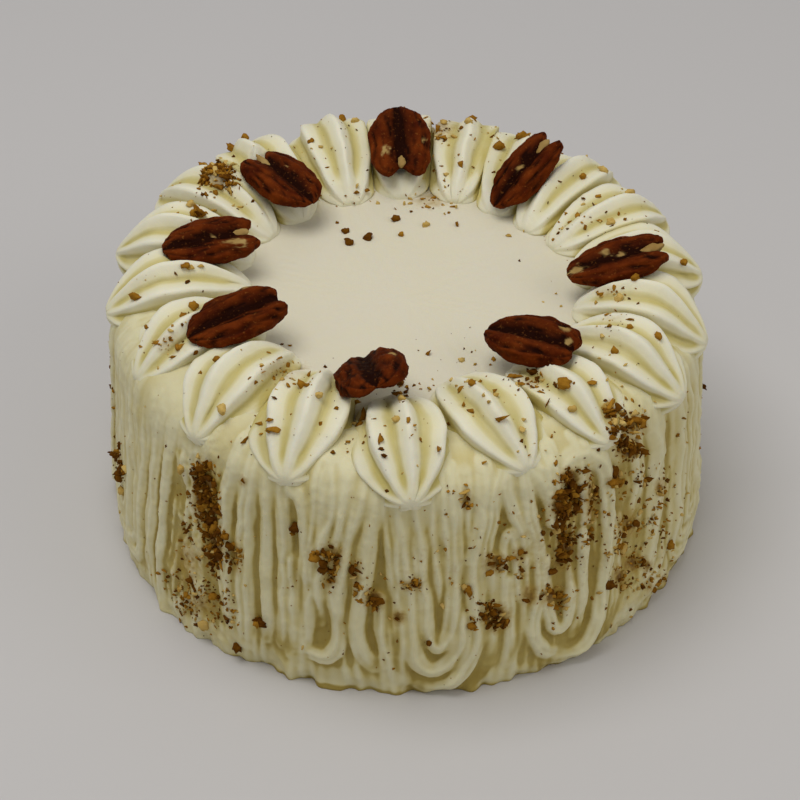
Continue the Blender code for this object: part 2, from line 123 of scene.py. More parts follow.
class Form:  # the points, faces and marks of one piece while it is made
    # first mark: painted shade on the cream and the pecan halves, and a tone at random on the chopped nuts
    markNames = ("hollow", "pale")

    def __init__(self):
        self.points = []
        self.faces = []
        self.marks = []

    def addSkin(self, rings):  # a skin over closed rings of points and marks, with a fan on each end
        first = len(self.points)
        size = len(rings[0])
        for ring in rings:
            for point, mark in ring:
                self.points.append(point)
                self.marks.append(mark)
        for row in range(len(rings) - 1):
            start = first + row * size
            for column in range(size):
                near, after = start + column, start + (column + 1) % size
                self.faces.append((near, after, after + size, near + size))
        for row in (0, len(rings) - 1):
            start = first + row * size
            centre = len(self.points)
            edge = [point for point, mark in rings[row]]
            self.points.append(tuple(sum(point[axis] for point in edge) / size for axis in range(3)))
            self.marks.append(rings[row][0][1])
            for column in range(size):
                corner = (start + column, start + (column + 1) % size, centre)
                self.faces.append(corner if row else corner[::-1])

    def addMesh(self, points, faces, mark):
        first = len(self.points)
        self.points.extend(points)
        self.marks.extend([mark] * len(points))
        self.faces.extend(tuple(first + index for index in face) for face in faces)

    def build(self, name, material, slot, *nodes):  # in place of the solids of these nodes
        mesh = bpy.data.meshes.new(name)
        mesh.from_pydata(self.points, [], self.faces)
        for index, title in enumerate(self.markNames):
            attribute = mesh.attributes.new(title, "FLOAT", "POINT")
            attribute.data.foreach_set("value", [mark[index] for mark in self.marks])
        bm = bmesh.new()
        bm.from_mesh(mesh)
        bmesh.ops.recalc_face_normals(bm, faces=bm.faces)
        bm.to_mesh(mesh)
        bm.free()
        mesh.shade_smooth()
        mesh.materials.append(material)
        piece = addObject(name, mesh)
        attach(piece, "root")
        if nodes:
            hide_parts(*nodes)


class Value:  # a socket that takes part in sums
    def __init__(self, shading, socket):
        self.shading = shading
        self.socket = socket

    def sum(self, operation, first, second, clamp=False):
        settings = {"operation": operation, "use_clamp": clamp}
        return self.shading.read("Math", settings, {0: first, 1: second})

    def __add__(self, other):
        return self.sum("ADD", self, other)

    def __radd__(self, other):
        return self.sum("ADD", other, self)

    def __sub__(self, other):
        return self.sum("SUBTRACT", self, other)

    def __rsub__(self, other):
        return self.sum("SUBTRACT", other, self)

    def __mul__(self, other):
        return self.sum("MULTIPLY", self, other)

    def __rmul__(self, other):
        return self.sum("MULTIPLY", other, self)

    def held(self):  # kept between 0 and 1
        return self.sum("ADD", self, 0.0, clamp=True)


class Shading:  # one material and its nodes
    def __init__(self, name):
        self.material = bpy.data.materials.new(name)
        self.material.use_nodes = True
        self.nodes = self.material.node_tree.nodes
        self.links = self.material.node_tree.links
        self.shader = self.nodes["Principled BSDF"]
        self.place = self.read("TexCoord", output="Object")

    def node(self, kind, settings=None, sockets=None):
        node = self.nodes.new("ShaderNode" + kind)
        for name, value in (settings or {}).items():
            setattr(node, name, value)
        for name, value in (sockets or {}).items():
            self.feed(node.inputs[name], value)
        return node

    def feed(self, socket, value):
        if isinstance(value, Value):
            self.links.new(value.socket, socket)
        elif isinstance(value, tuple) and socket.type == "RGBA":
            socket.default_value = (*value, 1)
        else:
            socket.default_value = value

    def read(self, kind, settings=None, sockets=None, output=0):
        return Value(self, self.node(kind, settings, sockets).outputs[output])

    def mark(self, name):
        return self.read("Attribute", {"attribute_name": name}, output="Fac")

    def grain(self, scale, detail, stretch=(1, 1, 1)):
        place = self.read("Mapping", sockets={"Vector": self.place, "Scale": stretch})
        return self.read("TexNoise", sockets={"Vector": place, "Scale": scale, "Detail": detail})

    def blend(self, share, first, second):
        settings = {"data_type": "RGBA", "clamp_factor": True}
        return self.read("Mix", settings, {0: share, 6: first, 7: second}, output=2)

    def bump(self, height, distance, strength):
        return self.read("Bump", sockets={"Height": height, "Distance": distance, "Strength": strength})

    def finish(self, **sockets):
        for name, value in sockets.items():
            title = " ".join(word.capitalize() for word in name.split("_")).replace("Ior", "IOR")
            self.feed(self.shader.inputs[title], value)
        return self.material


# The whipped cream

cream = {
    # colours of the crests, of the hollows and creases (painted shade), and of the yellower patches; the
    # wall's set is a darker, yellower copy: painted shade and painted bounce light
    "shell": ((0.825, 0.80, 0.64), (0.74, 0.68, 0.38), (0.56, 0.475, 0.155), (0.785, 0.745, 0.50)),
    "wall": ((0.745, 0.70, 0.45), (0.53, 0.42, 0.105), (0.37, 0.27, 0.058), (0.65, 0.555, 0.21)),
    # the flat middle of the top, painted a little darker than the shells' crests: painted shade
    "flat": (0.735, 0.69, 0.545),
    "tint": (0.42, 0.265, 0.036),
    "paste": (0.15, 0.067, 0.005),
    "smears": {"shell": 0.45, "wall": 0.9},  # how strongly the nuts colour it
    "grains": ((55, 3), (420, 4), (2100, 2)),  # waves a metre and detail: clouds, fine, bubbles
    "softness": 0.15,
    "reach": 0.002,
    "spread": (1.0, 0.72, 0.40),
}


def creamMaterial(name, tones):
    crest, hollow, paintedCrease, patch = cream[tones]
    smears = cream["smears"][tones]
    shading = Shading(name)
    clouds, fine, bubbles = (shading.grain(*grain) for grain in cream["grains"])
    # the first mark (low) is painted shade: in the hollows and creases, at the top's edge and in its comb
    # lines; the second (brown) marks the nut stains
    low, brown = shading.mark("hollow"), shading.mark("pale")
    depth = (low * 1.15 + (clouds - 0.5) * 0.45).held()
    colour = shading.blend(depth, crest, hollow)
    colour = shading.blend((depth * 2.4 - 1.4).held(), colour, paintedCrease)
    # the yellower patches are tone at random, stronger where the painted shade lies
    colour = shading.blend((clouds * 2.4 - 1.1).held() * (depth * 0.4 + 0.2), colour, patch)
    # the middle of the top takes the flat colour: painted shade, a little darker than the shells' crests
    colour = shading.blend((low * -2).held(), colour, cream["flat"])
    colour = shading.blend((brown * 2.2 + fine * 1.2 - 0.98).held() * smears, colour, cream["tint"])
    colour = shading.blend((brown * 3.2 + fine * 2.4 - 2.7).held() * smears, colour, cream["paste"])
    return shading.finish(
        base_color=colour,
        roughness=0.42 + fine * 0.2,
        normal=shading.bump(fine * 0.6 + bubbles * 0.2, 0.0006, 0.5),
        subsurface_weight=cream["softness"],
        subsurface_scale=cream["reach"],
        subsurface_radius=cream["spread"],
        specular_ior_level=0.25,
    )


# The coat of the cake

coat = {
    "topHeight": 0.094,
    "footRadius": 0.1132,
    "wallTopRadius": 0.1072,
    "wallTopHeight": 0.0840,
    "rimRadius": 0.0985,
    "browRun": 0.0145,  # how far the rounded edge runs, measured along it
    "recess": 0.0012,
    "swell": 0.0008 / 2.2,
    "swellWaves": ((3, 0, 0.7, 1.0), (5, 40, 0, 0.7), (9, 0, -2, 0.5)),
    "bareStrips": (
        (-130.5, 5.5, 0.85),
        (-44.5, 6.5, 0.75),
        (-61.5, 3.0, 0.45),
        (75, 6.0, 0.70),
        (158, 5.0, 0.60),
    ),
    "leastRope": 0.1,
    "discRows": 20,
    "grit": 0.0003,
    # unevenness of the foot, and where it was smeared: middle and half width in degrees
    "foot": (0.0032, 0.0056),
    "footRise": (0.006, 0.017),
    "smeared": (-114, 12),
    "browStart": 0.075,
    "browShare": 0.18,
    "bedHeight": 0.0055,
    "bedRadius": 0.090,
    "bedReach": 0.011,
    "combPitch": 0.0037,
    "combDepth": 0.00007,
    "combAngle": math.radians(72),
    "slopeStep": 0.0004,
    "settleRise": 0.0022,  # below it the ropes sink into the foot
    # roughness: waves a metre, and depth or least share
    "grains": (420, 0.00016),
    "lumps": (90, 0.0006),
    "combWander": (30, 0.0014),
    "combPatches": (22, 0.6),
    "topLumps": (24, 0.0004),
    "footWaves": (12, 50),
    "bareTint": 0.22,
    "discReach": 0.985,
    "flatMargin": 0.004,
    "flatRun": 0.014,
    # painted shade of the top: at its edge, less towards the middle, in the comb lines, and tone at random
    # in patches
    "topPaintedShade": (0.10, 0.56, 0.03, 0.08),
    "shadeWaves": 40,
    # the coat without its relief
    "plainColumns": 240,
    "plainRows": 60,
    "plainDisc": 0.95,
    "plainLift": 0.0015,
}
wallRun = coat["wallTopHeight"] + coat["browRun"]


def profile(rise):  # radius and height at a distance up the wall, over the edge and across the top
    wallTop, brow = coat["wallTopHeight"], coat["browRun"]
    if rise <= wallTop:
        return lerp(coat["footRadius"], coat["wallTopRadius"], rise / wallTop), rise
    if rise <= wallTop + brow:
        turn = (rise - wallTop) / brow * math.pi / 2
        radius = lerp(coat["wallTopRadius"], coat["rimRadius"], 1 - math.cos(turn))
        return radius, lerp(wallTop, coat["topHeight"], math.sin(turn))
    return coat["rimRadius"] - (rise - wallTop - brow), coat["topHeight"]


def slope(rise):  # how far the surface looks outwards and upwards
    inner, outer = profile(rise - coat["slopeStep"]), profile(rise + coat["slopeStep"])
    out, up = outer[1] - inner[1], inner[0] - outer[0]
    length = math.hypot(out, up)
    return out / length, up / length


def coatNormal(angle, rise):
    out, up = slope(rise)
    return polar(out, angle, up)


def coatPoint(angle, rise, lift=0.0):
    radius, height = profile(rise)
    if rise < wallRun:
        radius += coat["swell"] * waveSum(coat["swellWaves"], angle, height)
    return polar(radius, angle, height) + coatNormal(angle, rise) * lift


def ropeShare(angle):  # how much of the ropes stands, which is less in the bare strips
    share = 1.0
    for middle, halfWidth, lost in coat["bareStrips"]:
        share -= lost * bell(turnFrom(middle, math.degrees(angle)) / halfWidth)
    return max(share, coat["leastRope"])


def bedUnder(radius):  # the low ring of cream that fills up below and between the shells
    return coat["bedHeight"] * bell((radius - coat["bedRadius"]) / coat["bedReach"])


def makeCoat(heights, wall):  # the piped wall, the edge and the flat top with its comb lines
    comb = (math.cos(coat["combAngle"]), math.sin(coat["combAngle"]))
    # painted shade in the wall's hollows and creases
    paintedHollowShade = wall.paintedHollowShade(heights)
    middle, halfWidth = coat["smeared"]
    smears = [bell((math.degrees(angle) - middle) / halfWidth) for angle in wall.angles]
    grainWaves, grainDepth = coat["grains"]
    lumpWaves, lumpDepth = coat["lumps"]
    rings = []
    for row, rise in enumerate(wall.rises):
        radius, height = profile(rise)
        out, up = slope(rise)
        settle = smooth(rise / coat["settleRise"])
        overBrow = (rise - coat["browStart"]) / (wallRun - coat["browStart"])
        brow = lerp(1, coat["browShare"], smooth(overBrow))
        ring = []
        for column, bare in enumerate(wall.bare):
            cosine, sine = wall.cosines[column], wall.sines[column]
            place = (radius * cosine, radius * sine, height)
            lift = heights[row][column] * settle * brow
            lift += rough(place, grainWaves, 3) * (grainDepth + coat["grit"] * bare)
            lift += rough(place, lumpWaves, 3) * lumpDepth
            foot = 1 - smooth(rise / lerp(*coat["footRise"], smears[column]))
            if foot > 0:
                uneven = lerp(*coat["foot"], smears[column])
                uneven *= rough(wall.noisePlace(column, height, coat["footWaves"]), 1, 2)
                lift += foot * (uneven - coat["recess"])
            lift += bedUnder(radius)
            reach = radius + wall.swell(column, height) + (lift if rise == 0 else lift * out)
            point = (reach * cosine, reach * sine, height if rise == 0 else height + lift * up)
            ring.append((point, (paintedHollowShade[row][column], coat["bareTint"] * bare)))
        rings.append(ring)
    for row in range(1, coat["discRows"] + 1):
        radius = coat["rimRadius"] * (1 - coat["discReach"] * row / coat["discRows"])
        flat = smooth((coat["bedRadius"] - coat["flatMargin"] - radius) / coat["flatRun"])
        places = [(radius * cosine, radius * sine, 0) for cosine, sine in zip(wall.cosines, wall.sines)]
        rings.append([topPoint(place, comb, radius, flat) for place in places])
    form = Form()
    form.addSkin(rings)
    return form


def topPoint(place, comb, radius, flat):  # a point of the flat top, and its painted shade
    x, y = place[:2]
    wanderWaves, wander = coat["combWander"]
    patchWaves, leastComb = coat["combPatches"]
    lumpWaves, lumpDepth = coat["topLumps"]
    edge, middle, lines, patches = coat["topPaintedShade"]
    wave = x * comb[0] + y * comb[1] + wander * rough(place, wanderWaves, 2)
    line = math.cos(2 * math.pi * wave / coat["combPitch"])
    z = coat["topHeight"] + coat["combDepth"] * line * (leastComb + rough(place, patchWaves, 2))
    z += lumpDepth * rough(place, lumpWaves, 2) + bedUnder(radius)
    # painted shade at the top's edge and in the comb grooves, less in the middle, with tone at random in
    # patches
    shade = edge - middle * flat - lines * line + patches * rough(place, coat["shadeWaves"], 2)
    return (x, y, z), (shade, 0.0)


def plainCoat():  # the coat without its relief, which the photo's pixels are sent onto
    form = Form()
    columns, rows = coat["plainColumns"], coat["plainRows"]
    rises = [wallRun * row / rows for row in range(rows + 1)]
    rises.append(rises[-1] + coat["rimRadius"] * coat["plainDisc"])
    turns = [2 * math.pi * column / columns for column in range(columns)]
    lift = coat["plainLift"]
    form.addSkin([[(tuple(coatPoint(turn, rise, lift)), (0, 0)) for turn in turns] for rise in rises])
    return BVHTree.FromPolygons(form.points, form.faces)


# The piped ropes of the wall

ropes = {
    "seed": 11,
    "height": 0.0034,
    "overlap": 1.30,  # of the pitch
    "tracedWiden": 1.25,
    "step": 0.0024,
    "crests": (2, 2, 3),  # fine ridges that the nozzle leaves along a rope
    "lineDepth": 0.30,
    "roundness": 0.60,
    "overlie": 0.35,
    "soft": 0.0002,
    "fade": 0.012,  # length over which a rope ends on the wall, and what is left of it there
    "endShare": 0.15,
    "topFade": 0.035,
    "stray": 0.0022,
    "wander": 0.0014,
    "wanderWaves": ((7, 55, 0, 1.0), (11, -38, 1.3, 0.8)),
    "steadyFoot": 0.02,
    "topRise": 0.0955,
    "leftRise": 0.088,
    "edgeTurn": 0.0135,
    # left edge at the foot and at the top (degrees), middle of the turn (mm), roundness, ropes
    "frontCells": (
        (-152, -152, 17, 0.45, 3),
        (-133, -132, 17, 0.45, 3),
        (-113, -113, 26, 0.90, 3),
        (-94.5, -99, 27, 1.00, 3),
        (-74.5, -70, 28, 0.80, 4),
    ),
    "backStart": -51,
    "backCells": 11,
    "backTurn": (24, 0.75, 4),
    "faint": {5: 0.30, 6: 0.65, 15: 0.40},  # cells whose ropes are low
    "traced": (0, 1, 2, 3, 4),  # cells that the two tables below take the place of
    "ground": 0.0002,
    "legSteps": 12,
    "turnSteps": 10,
    "leftSteps": 8,
    "curveSteps": 8,
    "leastRise": 0.0016,
    "tracedLeast": 0.0012,
    # unevenness along a rope: knots, their distance, and how much width, height and lines vary
    "knots": 40,
    "knotPitch": 0.007,
    "uneven": (0.12, 0.16, 0.22),
    "lineSpread": (0.7, 1.3),
    "margin": 1.15,
    "strayWaves": (4.1, 0.6, 6, 34),
    # a traced rope that ends above this rise goes on under the shells, through these rises
    "highEnd": 0.060,
    "higher": (0.078, 0.087, 0.0955),
    "higherGap": 0.003,
    "higherLean": 0.25,
}

# Ropes of the front, along their middles in the photo: pixels, width and height in mm
routes = (
    (((233, 470), (226, 500), (224, 540), (226, 590), (233, 634)), 6.6, 2.6),
    (((255, 460), (247, 500), (244, 550), (243, 620), (243, 646)), 7.4, 3.2),
    (((266, 490), (267, 520), (266, 580), (268, 620), (262, 640)), 5.6, 3.0),
    (((281, 495), (284, 540), (284, 600), (282, 648)), 5.8, 3.1),
    (((290, 492), (297, 494), (304, 515), (306, 560), (303, 604)), 4.8, 3.4),
    (((331, 456), (318, 486), (316, 530), (310, 560), (311, 604)), 5.6, 3.0),
    (((334, 455), (331, 480), (331, 500), (330, 520), (322, 560), (320, 600), (316, 622)), 7.2, 3.8),
    (((341, 560), (334, 590), (338, 620), (338, 645), (325, 658), (305, 652), (290, 655)), 5.8, 3.6),
    (((337, 455), (345, 482), (341, 520), (333, 556), (329, 590)), 5.4, 3.0),
    (((365, 492), (352, 530), (345, 560), (339, 600), (338, 636)), 5.6, 3.4),
    (((378, 500), (371, 530), (364, 565), (360, 600), (356, 630), (362, 655), (376, 668)), 6.4, 3.9),
    (((384, 505), (388, 540), (392, 580), (391, 606)), 4.0, 2.4),
    (
        ((396, 490), (402, 535), (406, 570), (412, 600), (412, 640), (417, 661), (430, 671), (446, 665),
         (458, 648), (461, 622), (462, 590)),
        6.2, 3.9,
    ),
    (
        ((413, 490), (420, 540), (421, 570), (425, 600), (427, 630), (436, 648), (446, 640), (452, 620),
         (454, 590), (455, 550), (452, 500)),
        5.6, 3.3,
    ),
    (((429, 490), (434, 540), (438, 580), (440, 612)), 4.6, 2.6),
    (((441, 480), (444, 520), (447, 560), (447, 600)), 4.2, 2.4),
    (((467, 480), (465, 520), (464, 560)), 6.0, 2.2),
    (
        ((486, 480), (482, 520), (474, 560), (476, 620), (472, 650), (460, 674), (441, 688), (420, 688)),
        6.6, 3.9,
    ),
    (((509, 468), (497, 492), (492, 520), (486, 555), (487, 590)), 5.2, 2.8),
    (((512, 466), (508, 490), (515, 514), (525, 540), (528, 570)), 4.8, 2.8),
    (
        ((522, 464), (529, 510), (538, 545), (540, 580), (536, 610), (535, 636), (546, 652), (563, 652)),
        5.6, 3.4,
    ),
    (
        ((502, 624), (502, 590), (503, 556), (507, 536), (512, 534), (515, 556), (518, 590), (520, 620)),
        4.2, 2.8,
    ),
    (((545, 560), (546, 590), (548, 612), (555, 628), (566, 624), (571, 600), (573, 560)), 5.0, 3.0),
    (
        ((556, 520), (555, 500), (559, 480), (567, 466), (580, 457), (594, 456), (604, 468), (608, 500),
         (608, 540), (604, 580), (598, 615), (588, 640), (572, 655), (550, 659)),
        6.6, 4.0,
    ),
    (((583, 470), (585, 496), (587, 524)), 4.4, 2.4),
    (((583, 535), (583, 570), (581, 605), (575, 636)), 5.4, 3.2),
    (((527, 466), (543, 478), (552, 500), (553, 520)), 7.0, 3.2),
    (((638, 450), (640, 480), (637, 520)), 8.0, 1.8),
    (((657, 430), (657, 480), (653, 530), (646, 586)), 11.0, 2.6),
    (((679, 410), (679, 460), (676, 510), (672, 556)), 14.0, 3.2),
    (((694, 390), (695, 440), (694, 490), (690, 530)), 12.0, 2.6),
    (((700, 470), (701, 500), (698, 535)), 10.0, 2.6),
    # down to the foot between the turns
    (((229, 560), (228, 600), (232, 640)), 6.0, 2.2),
    (((292, 560), (294, 610), (296, 660)), 5.5, 2.2),
    (((310, 590), (306, 630), (300, 668)), 5.5, 2.2),
    (((378, 600), (384, 640), (392, 684)), 5.5, 2.4),
    (((398, 560), (400, 620), (404, 684)), 5.0, 2.4),
    (((492, 560), (492, 610), (490, 664)), 6.0, 2.4),
    (((508, 580), (510, 620), (510, 664)), 5.5, 2.2),
    (((526, 560), (526, 610), (527, 660)), 5.5, 2.2),
    (((618, 520), (616, 570), (610, 628)), 6.0, 1.9),
)

# Low ropes at the left of the view: degrees at the foot and the top, width, height and foot in mm
leftRopes = (
    (-176, -171, 20.0, 0.9, 3),
    (-168, -163, 17.0, 1.0, 4),
    (-160, -155.5, 14.0, 1.3, 5),
    (-153.5, -149.5, 11.0, 1.5, 7),
    (-148.6, -144.4, 9.0, 1.8, 8),
    (-144.2, -140.2, 7.0, 2.5, 6),
)


class Cell:  # one U of ropes between two edges, which may lean
    def __init__(self, left, right, turnHeight, roundness, count):
        self.left = [math.radians(value) for value in left]
        self.right = [math.radians(value) for value in right]
        self.count = count
        self.turnHeight = turnHeight / 1000
        self.halfWidth = (self.right[0] - self.left[0]) / 2 * coat["footRadius"]
        self.depth = roundness * self.halfWidth

    def angle(self, across, height):
        share = height / coat["wallTopHeight"]
        left = lerp(self.left[0], self.left[1], share)
        right = lerp(self.right[0], self.right[1], share)
        return lerp(left, right, (across + 1) / 2)

    def across(self, angle, height):
        left, right = self.angle(-1, height), self.angle(1, height)
        return 2 * (angle - left) / (right - left) - 1

    def turnAt(self, across):
        return lerp(self.turnHeight, ropes["edgeTurn"], across * across)

    def relief(self, across, height):
        below = max(0.0, self.turnAt(across) - height) / self.depth
        reach = math.hypot(across, below)
        if reach > 1:
            return ropes["ground"]
        rise = 1 - abs(reach * 2 * self.count % 2 - 1)
        return lerp(ropes["ground"], ropes["height"], rise)

    def line(self, reach):  # down one leg, round the turn and up the other
        top, start = ropes["topRise"], self.turnAt(reach)
        steps, turnSteps = ropes["legSteps"], ropes["turnSteps"]
        legs = [lerp(top, start, item / steps) for item in range(steps + 1)]
        turns = [math.pi * item / turnSteps for item in range(1, turnSteps)]
        places = [(-reach, rise) for rise in legs]
        for turn in turns:
            across = -reach * math.cos(turn)
            places.append((across, self.turnAt(across) - reach * self.depth * math.sin(turn)))
        places += [(reach, rise) for rise in reversed(legs)]
        return [(self.angle(across, rise), max(rise, ropes["leastRise"])) for across, rise in places]


def makeCells():
    edges = [row[:2] for row in ropes["frontCells"]]
    turns = [row[2:] for row in ropes["frontCells"]]
    sweep = edges[0][0] + 360 - ropes["backStart"]
    for item in range(ropes["backCells"]):
        edge = ropes["backStart"] + sweep * item / ropes["backCells"]
        edges.append((edge, edge))
        turns.append(ropes["backTurn"])
    edges.append((edges[0][0] + 360, edges[0][1] + 360))
    return [Cell(edges[item], edges[item + 1], *turns[item]) for item in range(len(turns))]


def reliefAt(cells, angle, height):
    start = cells[0].angle(-1, height)
    angle = start + (angle - start) % (2 * math.pi)
    for cell in cells:
        across = cell.across(angle, height)
        if across <= 1:
            break
    return cell.relief(across, height)


def drift(angle, height):  # sideways, as the ropes wander on their way up
    steady = smooth(height / ropes["steadyFoot"])
    return ropes["wander"] * steady * waveSum(ropes["wanderWaves"], angle, height)


wallGrid = {
    "front": (-192, 12),  # degrees
    "frontStep": 0.00056,
    "backStep": 0.00105,
    "rowStep": 0.00064,
    "streakPitch": 0.0041,
    "streakHeight": 0.0013,
    "ground": -0.0004,
    "around": 14,  # columns to each side that a hollow is compared with
    "blur": 4,
    "dip": 0.0011,
    "lowRope": 0.0012,
    "paintedShadeShares": (0.16, 0.8, 0.68),  # painted shade: everywhere, for the dip and for the depth below the crests
    # what is left of the painted shade at the top of the wall
    "browPaintedShade": 0.45,
    # streaks: their fades at the top and the foot, and what is left of them at the foot
    "streakFades": (0.012, 0.016, 0.3),
    # waves round the cake and a metre up it, and what they do to the streaks
    "streakWarp": ((5, 26), 0.0042),
    "streakStrength": ((16, 22), 0.55, 1.3, 0.1),  # middling, varied by, least
    "bareStreaks": 0.35,
    "tornStrips": ((-133, 9), (-36, 15), (75, 9), (158, 8)),  # where the cream is torn
    "tornWaves": (15, 85),
    "tornStreak": 0.4,
    "ragged": 0.0020,
}


class Wall:  # a grid over the wall and its edge, finer at the front, that holds heights of cream
    def __init__(self):
        radius = coat["footRadius"]
        start, stop = (math.radians(value) for value in wallGrid["front"])
        front = round((stop - start) * radius / wallGrid["frontStep"])
        back = round((2 * math.pi - stop + start) * radius / wallGrid["backStep"])
        end = start + 2 * math.pi
        angles = [lerp(start, stop, item / front) for item in range(front)]
        angles += [lerp(stop, end, item / back) for item in range(back)]
        rows = round(wallRun / wallGrid["rowStep"])
        self.angles = angles
        self.rises = [wallRun * row / rows for row in range(rows + 1)]
        self.cosines = [math.cos(angle) for angle in angles]
        self.sines = [math.sin(angle) for angle in angles]
        self.bare = [1 - ropeShare(angle) for angle in angles]
        self.torn = [self.tornAt(math.degrees(angle)) for angle in angles]
        self.x = np.array(angles) * radius
        self.y = np.array(self.rises)
        self.share = 1 - np.array(self.bare)

    def swell(self, column, height):
        return coat["swell"] * waveSum(coat["swellWaves"], self.angles[column], height)

    def tornAt(self, degrees):
        return max(bell(turnFrom(middle, degrees) / half) for middle, half in wallGrid["tornStrips"])

    def noisePlace(self, column, rise, waves):  # where noise is read, for waves round and up
        around, up = waves
        return self.cosines[column] * around, self.sines[column] * around, rise * up

    def streaks(self):  # fine upright lines of cream between the ropes
        topFade, footFade, footShare = wallGrid["streakFades"]
        warpWaves, warpReach = wallGrid["streakWarp"]
        strengthWaves, middling, varied, least = wallGrid["streakStrength"]
        heights = np.zeros((len(self.y), len(self.x)))
        for row, rise in enumerate(self.rises):
            fade = smooth((coat["wallTopHeight"] + topFade - rise) / topFade)
            fade *= lerp(footShare, 1, smooth(rise / footFade))
            for column, x in enumerate(self.x):
                warp = noise.noise(self.noisePlace(column, rise, warpWaves)) * warpReach
                warp += drift(self.angles[column], rise)
                fold = 1 - abs((x + warp) / wallGrid["streakPitch"] % 1 * 2 - 1)
                strong = middling + varied * noise.noise(self.noisePlace(column, rise, strengthWaves))
                streak = fold * max(least, strong) * wallGrid["streakHeight"]
                rag = noise.fractal(self.noisePlace(column, rise, wallGrid["tornWaves"]), 0.9, 2.0, 4)
                torn = streak * wallGrid["tornStreak"] + rag * wallGrid["ragged"]
                level = wallGrid["ground"] + lerp(streak, torn, self.torn[column])
                heights[row, column] = fade * level
        return heights * lerp(wallGrid["bareStreaks"], 1, self.share)

    def paintedHollowShade(self, heights):  # how far each place lies below its surroundings, painted as shade in the hollows and creases
        spread, reach = heights, wallGrid["blur"]
        for axis in (0, 1):
            total = np.zeros_like(heights)
            for step in range(-reach, reach + 1):
                total += np.roll(spread, step, axis)
            spread = total / (2 * reach + 1)
        highest = spread
        for step in range(-wallGrid["around"], wallGrid["around"] + 1):
            highest = np.maximum(highest, np.roll(spread, step, 1))
        sunk = (spread - heights) / wallGrid["dip"]
        deep = (highest - heights) / np.maximum(highest, wallGrid["lowRope"])
        everywhere, sunkShare, deepShare = wallGrid["paintedShadeShares"]
        shade = np.clip(everywhere + sunkShare * sunk + deepShare * deep, 0, 1)
        # the painted shade fades towards the top of the wall
        bright = np.interp(self.y, (coat["browStart"], coat["wallTopHeight"]), (1, wallGrid["browPaintedShade"]))
        return (shade * bright[:, None]).tolist()


def evenLine(points):  # a smooth line through points, cut into equal steps
    dense, step = [], ropes["step"]
    ends = [points[0]] + list(points) + [points[-1]]
    for index in range(len(points) - 1):
        before, start, stop, after = (Vector(point) for point in ends[index:index + 4])
        for item in range(ropes["curveSteps"]):
            t = item / ropes["curveSteps"]
            bend = (2 * before - 5 * start + 4 * stop - after) * t * t
            twist = (3 * start - before - 3 * stop + after) * t * t * t
            dense.append((2 * start + (stop - before) * t + bend + twist) / 2)
    dense.append(Vector(points[-1]))
    even, left = [dense[0]], step
    for start, stop in zip(dense, dense[1:]):
        run = (stop - start).length
        while run >= left:
            start = start.lerp(stop, left / run)
            run -= left
            left = step
            even.append(start)
        left -= run
    return even


def layRope(wall, heights, line, width, height, rng, bared=False, fades=(0, 0)):
    # raises the cream along a line of (distance round the cake, rise) pairs, less at faded ends
    half = width / 2
    crests = rng.choice(ropes["crests"])
    depth = ropes["lineDepth"] * rng.uniform(*ropes["lineSpread"])
    widths, lifts, slips = (
        np.array([rng.uniform(-spread, spread) for _ in range(ropes["knots"])]) for spread in ropes["uneven"]
    )
    knots = np.arange(ropes["knots"]) * ropes["knotPitch"]
    points = np.array([tuple(point) for point in evenLine(line)])
    wayRound = 2 * math.pi * coat["footRadius"]
    margin = half * ropes["margin"]
    for turn in (-1, 0, 1):
        moved = points + np.array((turn * wayRound, 0))
        low, high = moved.min(0) - margin, moved.max(0) + margin
        left, right = np.searchsorted(wall.x, (low[0], high[0]))
        under, over = np.searchsorted(wall.y, (low[1], high[1]))
        if left >= right or under >= over:
            continue
        x, y = np.meshgrid(wall.x[left:right], wall.y[under:over])
        best = np.full(x.shape, 1.0)
        side, along = np.zeros(x.shape), np.zeros(x.shape)
        run = 0.0
        for start, stop in zip(moved, moved[1:]):
            way = stop - start
            length = math.hypot(*way)
            share = np.clip(((x - start[0]) * way[0] + (y - start[1]) * way[1]) / length ** 2, 0, 1)
            across, up = x - start[0] - share * way[0], y - start[1] - share * way[1]
            gap = across ** 2 + up ** 2
            nearer = gap < best
            best[nearer] = gap[nearer]
            side[nearer] = np.sign(way[0] * up - way[1] * across)[nearer]
            along[nearer] = (run + share * length)[nearer]
            run += length
        away = np.sqrt(best) / (half * np.interp(along, knots, 1 + widths))
        inside = away < 1
        dome = np.clip(1 - away ** 2, 0, 1) ** ropes["roundness"]
        place = (side * away + 1) / 2 * crests + np.interp(along, knots, slips)
        flute = 1 - (place % 1 * 2 - 1) ** 2
        level = dome * (1 - depth * flute * dome) * height * np.interp(along, knots, 1 + lifts)
        for gone, fade in ((along, fades[0]), (run - along, fades[1])):
            if fade:
                level = level * np.interp(gone, (0, fade), (ropes["endShare"], 1))
        if bared:
            level = level * wall.share[left:right]
        patch = heights[under:over, left:right]
        laid = level + ropes["overlie"] * patch * dome
        soft = ropes["soft"]
        share = np.clip(0.5 + 0.5 * (laid - patch) / soft, 0, 1)
        merged = patch + (laid - patch) * share + soft * share * (1 - share) * 0.5
        patch[inside] = merged[inside]


def settled(heights):  # soft cream keeps no steps
    inner = (2 * heights + np.roll(heights, 1, 1) + np.roll(heights, -1, 1)) / 4
    even = inner.copy()
    even[1:-1] = (2 * inner[1:-1] + inner[2:] + inner[:-2]) / 4
    return even


